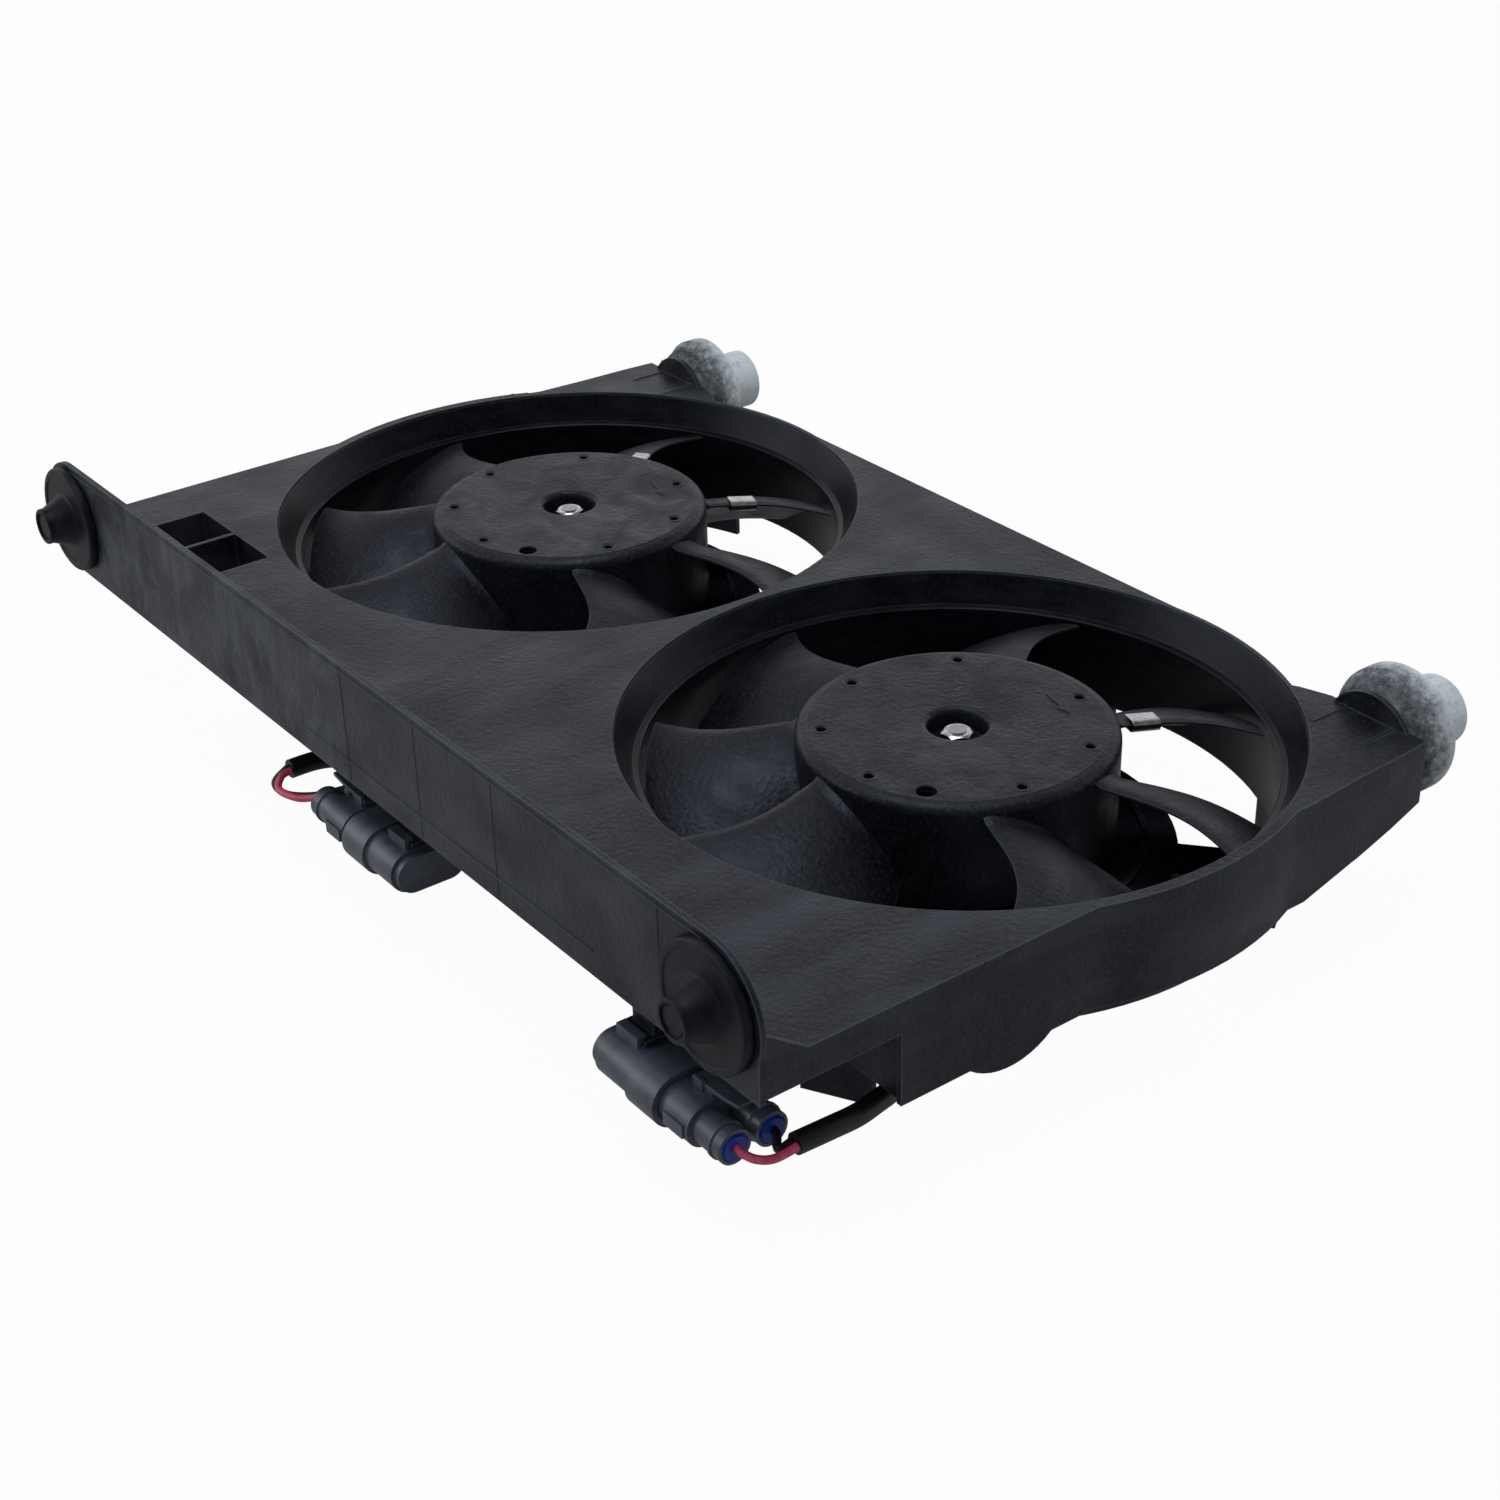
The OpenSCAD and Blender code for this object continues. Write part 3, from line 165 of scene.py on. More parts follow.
def box_mask(tree, place, low, high, soft):
    """1 inside a box of the frame, in metres, and 0 outside it, with soft sides: None leaves a side open."""
    parts = add_node(tree, "ShaderNodeSeparateXYZ", {}, {"Vector": place})
    mask = None
    for axis, first, last in zip("XYZ", low, high):
        for edge, sign in ((first, 1), (last, -1)):
            if edge is None:
                continue
            ramp = add_node(tree, "ShaderNodeMapRange",
                            {"From Min": edge - sign * soft, "From Max": edge + sign * soft},
                            {"Value": parts.outputs[axis]})
            if mask is None:
                mask = ramp.outputs[0]
            else:
                both = add_node(tree, "ShaderNodeMath", {"operation": "MULTIPLY"},
                                {0: mask, 1: ramp.outputs[0]})
                mask = both.outputs[0]
    return mask


# Materials, each named for the real one.
# The blacks share nylon's IOR, a faintly blue sheen, and a grit that is drawn 1.8 mm wide:
# the real one, a few tenths of a millimetre, would be too fine to show.

NYLON_IOR = 1.53
RUBBER_IOR = 1.52
BLUE_SHEEN = "#d9e2ff"
GRIT_MM = 1.8

# The dusty stretch of the pin wall's outer face, in metres
DUSTY_FROM_X = -0.285
DUSTY_TO_X = 0.004
DUST_EDGE = 1.5 * MM


def glass_filled_nylon():
    """Black moulded nylon with glass: satin, with grey dust rubbed unevenly over the pin wall."""
    material, tree, shader, place = surface("glass_filled_nylon", "#0d0e12", 0.46, ior=NYLON_IOR,
                                            specular=0.34, tint=BLUE_SHEEN)
    wisps = add_node(tree, "ShaderNodeMapping", {"Scale": (1.0, 0.35, 1.0), "Rotation": (0.0, 0.0, 0.5)},
                     {"Vector": place})
    wispy = vary_colour(tree, shader, wisps.outputs[0], 26, "#060709", "#262a31",
                        low=0.42, high=0.68, detail=12.0)
    gritty = speckle(tree, shader, wispy, place, GRIT_MM, "#2a2e35", low=0.5, high=0.75)
    strokes = add_node(tree, "ShaderNodeMapping", {"Scale": (1.0, 1.0, 0.45)}, {"Vector": place})
    rubbed = add_node(tree, "ShaderNodeTexNoise",
                      {"Scale": per_metre(20), "Detail": 12.0, "Roughness": 0.8, "Distortion": 0.2},
                      {"Vector": strokes.outputs[0]})
    dust = add_node(tree, "ShaderNodeMapRange", {"From Min": 0.48, "From Max": 0.58},
                    {"Value": rubbed.outputs["Fac"]})
    wall_face = box_mask(tree, place, (DUSTY_FROM_X, None, None),
                         (DUSTY_TO_X, WALL_FACE_Y + DUST_EDGE, None), DUST_EDGE)
    amount = add_node(tree, "ShaderNodeMath", {"operation": "MULTIPLY"}, {0: dust.outputs[0], 1: wall_face})
    dusty = add_node(tree, "ShaderNodeMix", {"data_type": "RGBA"},
                     {"Factor": amount.outputs[0], "A": gritty})
    dusty.inputs["B"].default_value = linear("#383d43")
    # Pale edges: a painted highlight along the shroud's edges
    paint_edge_highlight(tree, shader, dusty.outputs["Result"], width_mm=1.3, pale="#4a5058", share=0.8)
    vary_sheen(tree, shader, place, 45, smooth=0.36, rough=0.54, detail=5.0)
    grain_bump(tree, shader, place, 2.4, depth_mm=0.4, strength=0.8, detail=6.0)
    return material


def shaded_tunnel_nylon():
    """The same nylon inside the tunnels, moulded against a polished core: smoother, and coloured blacker as
    painted shade deep in the well.
    """
    # Base colour blacker than the shroud's: painted shade of the deep tunnel
    material, tree, shader, place = surface("shaded_tunnel_nylon", "#06070a", 0.3, ior=NYLON_IOR,
                                            specular=0.14, tint=BLUE_SHEEN)
    # Streaks of the core's polish, in tones held low as painted shade
    streaks = add_node(tree, "ShaderNodeMapping", {"Scale": (0.25, 0.25, 1.0)}, {"Vector": place})
    streaked = vary_colour(tree, shader, streaks.outputs[0], 5, "#040507", "#101216",
                           low=0.4, high=0.7, detail=8.0)
    gritty = speckle(tree, shader, streaked, place, GRIT_MM, "#1c1f24", low=0.52, high=0.78)
    # Pale edges: a painted highlight along the tunnel's edges
    paint_edge_highlight(tree, shader, gritty, width_mm=1.1, pale="#40464d", share=0.8)
    grain_bump(tree, shader, place, 2.4, depth_mm=0.1, strength=0.5, detail=6.0)
    return material


def fan_nylon():
    """Black moulded nylon of the fans, darker and a little smoother than the shroud, with a fine grain."""
    material, tree, shader, place = surface("fan_nylon", "#090a0d", 0.42, ior=NYLON_IOR,
                                            specular=0.33, tint=BLUE_SHEEN)
    patchy = vary_colour(tree, shader, place, 35, "#060709", "#121419", low=0.4, high=0.65, detail=8.0)
    gritty = speckle(tree, shader, patchy, place, GRIT_MM, "#262a30", low=0.5, high=0.75)
    # Pale edges: a painted highlight along the fan's edges
    paint_edge_highlight(tree, shader, gritty, width_mm=1.1, pale="#454b53", share=0.7)
    vary_sheen(tree, shader, place, 26, smooth=0.34, rough=0.56, detail=7.0, swirl=1.6)
    grain_bump(tree, shader, place, 2.2, depth_mm=0.45, strength=0.9, detail=6.0)
    return material


def black_rubber():
    """Moulded EPDM rubber: deep black and matte."""
    material, tree, shader, place = surface("black_rubber", "#0d0e11", 0.5, ior=RUBBER_IOR,
                                            specular=0.24, tint=BLUE_SHEEN)
    vary_colour(tree, shader, place, 7, "#050608", "#17191c", low=0.42, high=0.75, detail=10.0)
    grain_bump(tree, shader, place, 1.2, depth_mm=0.12, strength=0.5, detail=6.0)
    return material


# Colours from bare rubber to thick talc and painted light, each with its place on the ramp
POWDER_AND_LIGHT_RAMP = ((0.26, "#2f3338"), (0.4, "#5b6168"), (0.56, "#99a1a8"), (0.74, "#c3cbd1"))


def powdered_rubber_painted_light():
    """Rubber of the isolators: dark and whitened by talc in clouds, with painted shade at the cone end and
    painted light towards the tail.
    """
    material, tree, shader, place = surface("powdered_rubber_painted_light", "#8e9295", 0.8, ior=RUBBER_IOR, specular=0.3)
    cloud = add_node(tree, "ShaderNodeTexNoise",
                     {"Scale": per_metre(5), "Detail": 12.0, "Roughness": 0.82, "Distortion": 0.1},
                     {"Vector": place})
    along = add_node(tree, "ShaderNodeSeparateXYZ", {},
                     {"Vector": add_node(tree, "ShaderNodeTexCoord").outputs["Generated"]})
    # Along the axis: painted shade at the cone end and painted light towards the tail, added to the talc
    # clouds
    rise = add_node(tree, "ShaderNodeMapRange",
                    {"From Min": 0.12, "From Max": 0.5, "To Min": -0.18, "To Max": 0.24},
                    {"Value": along.outputs["Y"]})
    powder_and_painted_light = add_node(tree, "ShaderNodeMath", {"operation": "ADD"},
                    {0: cloud.outputs["Fac"], 1: rise.outputs[0]})
    ramp = add_node(tree, "ShaderNodeValToRGB", {}, {"Fac": powder_and_painted_light.outputs[0]})
    for position, colour in POWDER_AND_LIGHT_RAMP:
        stop = ramp.color_ramp.elements.new(position)
        stop.color = linear(colour)
    ramp.color_ramp.elements.remove(ramp.color_ramp.elements[-1])
    ramp.color_ramp.elements.remove(ramp.color_ramp.elements[0])
    tree.links.new(ramp.outputs["Color"], shader.inputs["Base Color"])
    grain_bump(tree, shader, place, 1.1, depth_mm=0.18, strength=0.5, detail=8.0)
    return material


def zinc_steel():
    """Zinc plated steel: pale, faintly blue, soft reflections."""
    material, tree, shader, place = surface("zinc_steel", "#c4c7c9", 0.22, metallic=1.0)
    vary_colour(tree, shader, place, 3, "#b2b6b9", "#d8dadc")
    grain_bump(tree, shader, place, 0.4, depth_mm=0.02, strength=0.2)
    return material


def spring_steel():
    """Bright rolled spring steel: grey, with clear highlights."""
    material, tree, shader, place = surface("spring_steel", "#b4b5b7", 0.24, metallic=1.0)
    vary_colour(tree, shader, place, 4, "#a4a6a8", "#c6c7c8")
    grain_bump(tree, shader, place, 0.5, depth_mm=0.02, strength=0.15)
    return material


def black_can_paint():
    """Electrocoated steel of the motor can: thin black paint, low sheen."""
    material, tree, shader, place = surface("black_can_paint", "#0c0d0e", 0.38, specular=0.35)
    vary_colour(tree, shader, place, 14, "#0a0a0b", "#111214")
    grain_bump(tree, shader, place, 0.9, depth_mm=0.04, strength=0.25)
    return material


def plug_plastic():
    """Moulded PBT of the plugs: blue-black satin, coloured a lighter grey-blue as painted light for the
    light that falls on them from the front.
    """
    # Grey-blue base colour: painted light over the plugs' blue-black
    material, tree, shader, place = surface("plug_plastic", "#39404c", 0.36, ior=1.54)
    vary_colour(tree, shader, place, 12, "#323844", "#444b58")
    grain_bump(tree, shader, place, 0.5, depth_mm=0.03, strength=0.2)
    return material


def blue_silicone():
    """Silicone wire seals: saturated blue, softly shining."""
    material, tree, shader, place = surface("blue_silicone", "#0c2f80", 0.38, ior=1.41)
    vary_colour(tree, shader, place, 4, "#0a2874", "#10378e")
    grain_bump(tree, shader, place, 0.6, depth_mm=0.03, strength=0.2)
    return material


def red_pvc():
    """PVC insulation of the power wires: pink-red, satin."""
    material, tree, shader, place = surface("red_pvc", "#b03a5c", 0.4, ior=1.53)
    vary_colour(tree, shader, place, 5, "#a33352", "#bd4768")
    grain_bump(tree, shader, place, 0.5, depth_mm=0.02, strength=0.15)
    return material


def black_pvc():
    """PVC insulation and sleeves: black, satin."""
    material, tree, shader, place = surface("black_pvc", "#121213", 0.42, ior=1.53, specular=0.35)
    vary_colour(tree, shader, place, 6, "#0e0e0f", "#19191a")
    grain_bump(tree, shader, place, 0.7, depth_mm=0.03, strength=0.2)
    return material


def turned_steel():
    """Ground steel of the shafts: mid grey, softly bright."""
    material, tree, shader, place = surface("turned_steel", "#a9abad", 0.3, metallic=1.0)
    vary_colour(tree, shader, place, 5, "#9c9ea1", "#b6b8b9")
    grain_bump(tree, shader, place, 0.4, depth_mm=0.02, strength=0.2)
    return material


def lamination_steel():
    """Varnished stack of thin steel sheets: dull, warm grey."""
    material, tree, shader, place = surface("lamination_steel", "#6c6a68", 0.45, metallic=1.0)
    vary_colour(tree, shader, place, 3, "#5c5a59", "#7a7876")
    grain_bump(tree, shader, place, 0.5, depth_mm=0.05, strength=0.4)
    return material


def enamelled_copper():
    """Enamelled copper wire of the coils: red-brown, with ridges a wire apart."""
    material, tree, shader, place = surface("enamelled_copper", "#a8592c", 0.3, metallic=1.0)
    vary_colour(tree, shader, place, 1.2, "#8e4722", "#bd6a38")
    grain_bump(tree, shader, place, 1.0, depth_mm=0.3, strength=0.6)
    return material


def turned_copper():
    """Turned copper of the commutators: pale red, bright."""
    material, tree, shader, place = surface("turned_copper", "#b8734a", 0.25, metallic=1.0)
    vary_colour(tree, shader, place, 3, "#a5643e", "#c78357")
    grain_bump(tree, shader, place, 0.5, depth_mm=0.03, strength=0.3)
    return material


def ferrite():
    """Sintered ferrite of the magnets: dark grey, matte, porous."""
    material, tree, shader, place = surface("ferrite", "#333335", 0.7)
    vary_colour(tree, shader, place, 4, "#2a2a2c", "#3d3d3f")
    grain_bump(tree, shader, place, 0.5, depth_mm=0.08, strength=0.5)
    return material


def sintered_bronze():
    """Oiled sintered bronze of the bearings: brown-gold, dull."""
    material, tree, shader, place = surface("sintered_bronze", "#8f6f3f", 0.42, metallic=1.0)
    vary_colour(tree, shader, place, 2, "#7d5f35", "#9d7c4a")
    grain_bump(tree, shader, place, 0.3, depth_mm=0.04, strength=0.4)
    return material


def phenolic_resin():
    """Pressed resin of the brush cards: brown, half matte."""
    material, tree, shader, place = surface("phenolic_resin", "#5a3b24", 0.5, ior=1.6)
    vary_colour(tree, shader, place, 6, "#4d321e", "#66452c")
    grain_bump(tree, shader, place, 0.6, depth_mm=0.04, strength=0.3)
    return material


def pressed_carbon():
    """Pressed carbon of the brushes: dark grey, matte."""
    material, tree, shader, place = surface("pressed_carbon", "#242424", 0.6)
    vary_colour(tree, shader, place, 3, "#1e1e1e", "#2d2d2d")
    grain_bump(tree, shader, place, 0.3, depth_mm=0.04, strength=0.4)
    return material


FINISH = {
    "shroud": glass_filled_nylon(),
    "tunnel": shaded_tunnel_nylon(),
    "fan": fan_nylon(),
    "rubber": black_rubber(),
    "isolator": powdered_rubber_painted_light(),
    "zinc": zinc_steel(),
    "spring": spring_steel(),
    "can": black_can_paint(),
    "plug": plug_plastic(),
    "seal": blue_silicone(),
    "red": red_pvc(),
    "black": black_pvc(),
    "shaft": turned_steel(),
    "stack": lamination_steel(),
    "copper": enamelled_copper(),
    "commutator": turned_copper(),
    "ferrite": ferrite(),
    "bronze": sintered_bronze(),
    "resin": phenolic_resin(),
    "carbon": pressed_carbon(),
}

# Finish of each CAD node, by its name without the side
NODE_FINISH = {
    "shroud": "shroud", "fan": "fan", "fan_nut": "zinc", "fan_washer": "zinc",
    "balance_clip": "spring", "balance_clips": "spring", "motor_can": "can",
    "motor_end_cap": "can", "motor_shaft": "shaft", "armature": "stack", "windings": "copper",
    "commutator": "commutator", "magnets": "ferrite", "front_bearing": "bronze",
    "rear_bearing": "bronze", "brush_card": "resin", "brushes": "carbon",
    "brush_springs": "spring", "motor_screws": "zinc", "peg_grommet": "rubber",
    "isolator": "isolator", "plug_housing": "plug", "plug_mate": "plug", "plug_latch": "plug",
    "wire_seals": "seal", "power_wire": "red", "ground_wire": "black", "lead_sleeve": "black",
}


def plain_name(node):
    """The node's name without its side."""
    return node.split("_", 1)[1] if node.split("_", 1)[0] in SIDES else node


for node_name, node_object in frame["nodes"].items():
    node_object.data.materials.clear()
    node_object.data.materials.append(FINISH[NODE_FINISH[plain_name(node_name)]])


# Mesh helpers. Forms are drawn in millimetres, with their height from the panel top.

def panel_place():
    """Moves millimetres, in the source's own axes, to the frame."""
    return Matrix.Translation((0, FAN_AXIS["right"].y, PANEL_TOP)) @ Matrix.Scale(MM, 4)


def fan_place(side):
    """Moves millimetres, drawn round a fan's axis, to the fan's place in the frame."""
    axis = FAN_AXIS[side]
    return Matrix.Translation((axis.x, axis.y, PANEL_TOP)) @ Matrix.Scale(MM, 4)


def turn_about_z(degrees):
    """Rotation about the vertical."""
    return Matrix.Rotation(math.radians(degrees), 4, "Z")


def new_object(name, data):
    """An object in the scene's own collection."""
    made = bpy.data.objects.new(name, data)
    bpy.context.scene.collection.objects.link(made)
    return made


def as_object(name, form, place=Matrix(), sharp=30):
    """Makes an object from a bmesh, shaded smooth apart from edges sharper than an angle."""
    bmesh.ops.recalc_face_normals(form, faces=form.faces)
    mesh = bpy.data.meshes.new(name)
    form.to_mesh(mesh)
    form.free()
    mesh.transform(place)
    shade_smooth(mesh, sharp)
    return new_object(name, mesh)


def shade_smooth(mesh, sharp):
    """Smooth shading, broken at edges sharper than an angle in degrees."""
    mesh.polygons.foreach_set("use_smooth", [True] * len(mesh.polygons))
    mesh.set_sharp_from_angle(angle=math.radians(sharp))


def bake(piece):
    """Applies the piece's modifiers to its mesh."""
    graph = bpy.context.evaluated_depsgraph_get()
    mesh = bpy.data.meshes.new_from_object(piece.evaluated_get(graph))
    piece.modifiers.clear()
    piece.data = mesh


def cut(piece, cutter):
    """Takes the cutter's form out of the piece and removes the cutter."""
    step = piece.modifiers.new("cut", "BOOLEAN")
    step.operation = "DIFFERENCE"
    step.solver = "EXACT"
    step.object = cutter
    bake(piece)
    bpy.data.objects.remove(cutter)


def revolve(form, profile, steps=144, turn=Matrix()):
    """Turns a closed profile of (radius, height) points about Z."""
    loops = []
    for k in range(steps):
        angle = math.tau * k / steps
        loops.append([form.verts.new(turn @ Vector((r * math.cos(angle), r * math.sin(angle), z)))
                      for r, z in profile])
    count = len(profile)
    for k in range(steps):
        here, there = loops[k], loops[(k + 1) % steps]
        for i in range(count):
            j = (i + 1) % count
            form.faces.new((here[i], there[i], there[j], here[j]))


def rounded_corner(centre, radius, start, end, steps):
    """Points of an arc, angles in degrees."""
    angles = [math.radians(start + (end - start) * i / steps) for i in range(steps + 1)]
    return [(centre[0] + radius * math.cos(a), centre[1] + radius * math.sin(a)) for a in angles]


# Softened copies: the CAD form with its edges rounded as moulding or pressing leaves them.
# WELD joins points that lie closer than any real edge, and FLAT_WITHIN merges faces of one plane.

WELD = 0.012 * MM
FLAT_WITHIN = math.radians(0.6)
ROUND_FROM = math.radians(32)

# Rounding of the pieces that are pressed or moulded, in millimetres
EDGE_ROUNDING = {
    "motor_can": 0.4, "motor_end_cap": 0.4, "plug_housing": 0.4,
    "plug_mate": 0.5, "plug_latch": 0.3, "wire_seals": 0.3,
}
SHROUD_ROUNDING = 0.7


def softened(node, body, width_mm, cutter=None):
    """A welded copy of a CAD node with rounded edges, which replaces it."""
    mesh = frame["nodes"][node].data.copy()
    if cutter:
        holder = new_object("uncut_form", mesh)
        cut(holder, cutter)
        mesh = holder.data
        bpy.data.objects.remove(holder)
    form = bmesh.new()
    form.from_mesh(mesh)
    bmesh.ops.remove_doubles(form, verts=form.verts, dist=WELD)
    bmesh.ops.dissolve_limit(form, angle_limit=FLAT_WITHIN, verts=form.verts, edges=form.edges,
                             delimit={"NORMAL"})
    form.to_mesh(mesh)
    form.free()
    piece = new_object(node + "_form", mesh)
    bevel = piece.modifiers.new("rounded_edges", "BEVEL")
    bevel.width = width_mm * MM
    bevel.segments = 2
    bevel.limit_method = "ANGLE"
    bevel.angle_limit = ROUND_FROM
    bevel.use_clamp_overlap = True
    flat = piece.modifiers.new("flat_faces_stay_flat", "WEIGHTED_NORMAL")
    flat.weight = 100
    flat.keep_sharp = True
    for polygon in mesh.polygons:
        polygon.use_smooth = True
    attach(piece, body)
    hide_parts(node)
    return piece


# Fan moulding: hub with rounded rim, recess and holes, and seven thick curved blades.
# Radii from the fan's axis and heights from the panel top in millimetres, angles in degrees.

HUB_R = 71.0
HUB_WALL = 2.6
HUB_H = 50.0
RIM_ROUND = 5.0
RECESS_R = 15.6
RECESS_FLOOR = -12.0
LIP_ROUND = 2.8
BOSS_R = 19.0
BOSS_BOTTOM = -19.0
SHAFT_HOLE_R = 4.02

# Blades: where each begins, its chord at root and tip, and the heights of its two edges
TIP_R = 137.0
BLADE_T = 2.2
BLADE_ANGLES = (12.5, 57, 113.5, 173, 219, 262, 327)
ROOT_CHORD = 37.0
TIP_CHORD = 32.0
MID_LAG = 4.3
LEAD_Z = (-8.5, -17.0)
TRAIL_Z = -40.0
TRAIL_DROP = 10.0
ROOT_FILLET = 1.8
# The edges are thinned to a share of the thickness, over a taper, across a chord in millimetres
EDGE_SHARE = 0.45
EDGE_TAPER = 4
CHORD_MM = 45

# Holes in the hub's face, and the bead round each small one: radius from its middle, height over the face
HOLE_RING_R = 59.2
HOLE_R = 2.2
HOLE_DEPTH = 4.0
HOLE_ANGLES = (30.9, 74.3, 138.7, 191.4, 235.3, 279.9, 345.5)
BIG_HOLE_R = 4.5
BIG_HOLE_DEPTH = 9.0
BIG_HOLE_ANGLE = 306.1
BEAD = ((3.5, -0.2), (3.6, 0.12), (3.9, 0.22), (4.2, 0.12), (4.3, -0.2))

# Raised arrow for the sense of rotation
ARROW_R = 48.0
ARROW_ANGLE = 76.0
ARROW_SHAFT = 13.0
ARROW_HEAD = 7.0
ARROW_HALF = 0.9
ARROW_WIDE = 3.0
ARROW_RISE = 0.5
ARROW_ROOT = 0.2


def hub_profile():
    """Half section of the cup: lip of the recess, face, rounded rim, skirt, and the boss underneath."""
    top = -HUB_DROP
    skirt = -HUB_DROP - HUB_H
    inner = HUB_R - HUB_WALL
    lip = RECESS_R + 0.4
    return ([(lip - LIP_ROUND, RECESS_FLOOR), (lip - LIP_ROUND, top - LIP_ROUND)]
            + rounded_corner((lip, top - LIP_ROUND), LIP_ROUND, 180, 90, 6)
            + [(HUB_R - RIM_ROUND - 0.6, top), (HUB_R - RIM_ROUND, top - 0.35)]
            + rounded_corner((HUB_R - RIM_ROUND, top - RIM_ROUND - 0.35), RIM_ROUND, 84, 0, 9)
            + [(HUB_R, skirt + 0.5), (HUB_R - 0.5, skirt), (inner, skirt),
               (inner, top - RIM_ROUND - 1), (inner - 2, top - HUB_WALL - 0.6),
               (BOSS_R, top - HUB_WALL), (BOSS_R - 1, BOSS_BOTTOM),
               (SHAFT_HOLE_R, BOSS_BOTTOM), (SHAFT_HOLE_R, RECESS_FLOOR)])


def blade_height(u, v):
    """Height of the blade's middle surface: u from hub to tip, v from leading to trailing edge."""
    lead = LEAD_Z[0] + (LEAD_Z[1] - LEAD_Z[0]) * u
    trail = TRAIL_Z - TRAIL_DROP * (1.6 * u - 0.6 * u * u)
    return lead + (trail - lead) * v ** (2 - 0.55 * u)


def blade_lag(u):
    """Degrees by which the leading edge hangs back, most at mid span, like a sickle."""
    return MID_LAG * math.sin(math.pi * u)


def blade_middle(u, v):
    """Point on the blade's middle surface."""
    root_r = HUB_R - HUB_WALL / 2
    radius = root_r + (TIP_R - BLADE_T / 2 - root_r) * u
    angle = math.radians(blade_lag(u) + (ROOT_CHORD + (TIP_CHORD - ROOT_CHORD) * u * u) * v)
    return Vector((radius * math.cos(angle), radius * math.sin(angle), blade_height(u, v)))


def blade_normal(u, v):
    """Direction across the blade's thickness."""
    step = 0.01
    before_u = max(u - step, 0)
    before_v = max(v - step, 0)
    along = blade_middle(u + step, v) - blade_middle(before_u, v)
    across = blade_middle(u, v + step) - blade_middle(u, before_v)
    return along.cross(across).normalized()


def add_blade(form, turn, rows=30, columns=22):
    """One blade as a closed shell, flared at its root like a moulded fillet."""
    sheets = []
    for sign in (1, -1):
        sheet = []
        for i in range(rows + 1):
            u = 1 - (1 - i / rows) ** 1.5
            reach = (TIP_R - HUB_R) * u
            flare = 0.0
            if reach < ROOT_FILLET:
                flare = ROOT_FILLET - math.sqrt(ROOT_FILLET ** 2 - (ROOT_FILLET - reach) ** 2)
            line = []
            for k in range(columns + 1):
                v = 0.5 - 0.5 * math.cos(math.pi * k / columns)
                edge = min(v, 1 - v) * CHORD_MM
                thin = min(1.0, EDGE_SHARE + edge / EDGE_TAPER)
                point = blade_middle(u, v) + sign * (BLADE_T / 2 * thin + flare) * blade_normal(u, v)
                line.append(form.verts.new(turn @ point))
            sheet.append(line)
        sheets.append(sheet)
    top, under = sheets
    for i in range(rows):
        for k in range(columns):
            form.faces.new((top[i][k], top[i + 1][k], top[i + 1][k + 1], top[i][k + 1]))
            form.faces.new((under[i][k], under[i][k + 1], under[i + 1][k + 1], under[i + 1][k]))
    for k in range(columns):
        form.faces.new((top[0][k], top[0][k + 1], under[0][k + 1], under[0][k]))
        form.faces.new((top[rows][k + 1], top[rows][k], under[rows][k], under[rows][k + 1]))
    for i in range(rows):
        form.faces.new((top[i + 1][0], top[i][0], under[i][0], under[i + 1][0]))
        form.faces.new((top[i][columns], top[i + 1][columns], under[i + 1][columns], under[i][columns]))


def hub_relief(side):
    """Raised marks on the hub's face: a bead round each hole and an arrow for the sense of rotation."""
    form = bmesh.new()
    top = -HUB_DROP
    for angle in HOLE_ANGLES:
        middle = turn_about_z(angle) @ Matrix.Translation((HOLE_RING_R, 0, 0))
        revolve(form, [(r, top + rise) for r, rise in BEAD], 32, middle)
    place = turn_about_z(ARROW_ANGLE) @ Matrix.Translation((ARROW_R, 0, 0)) @ turn_about_z(-90)
    neck = ARROW_SHAFT / 2
    outline = [(-neck, -ARROW_HALF), (neck, -ARROW_HALF), (neck, -ARROW_WIDE), (neck + ARROW_HEAD, 0),
               (neck, ARROW_WIDE), (neck, ARROW_HALF), (-neck, ARROW_HALF)]
    lower = [form.verts.new(place @ Vector((x, y, top - ARROW_ROOT))) for x, y in outline]
    upper = [form.verts.new(place @ Vector((x * 0.985, y * 0.8, top + ARROW_RISE))) for x, y in outline]
    form.faces.new(upper)
    form.faces.new(lower[::-1])
    for i in range(len(outline)):
        j = (i + 1) % len(outline)
        form.faces.new((lower[i], lower[j], upper[j], upper[i]))
    return as_object(f"{side}_hub_relief", form, fan_place(side), 40)


def hub_holes(side):
    """Cutter for the holes in the hub's face, each with a small chamfer."""
    form = bmesh.new()
    spots = [(angle, HOLE_R, HOLE_DEPTH) for angle in HOLE_ANGLES]
    spots.append((BIG_HOLE_ANGLE, BIG_HOLE_R, BIG_HOLE_DEPTH))
    for angle, radius, depth in spots:
        low = -HUB_DROP - depth
        middle = turn_about_z(angle) @ Matrix.Translation((HOLE_RING_R, 0, 0))
        revolve(form, [(0.001, low), (radius, low), (radius, -HUB_DROP - 0.5),
                       (radius + 0.4, -HUB_DROP), (radius + 0.4, 1), (0.001, 1)], 28, middle)
    return as_object("hub_holes", form, fan_place(side))


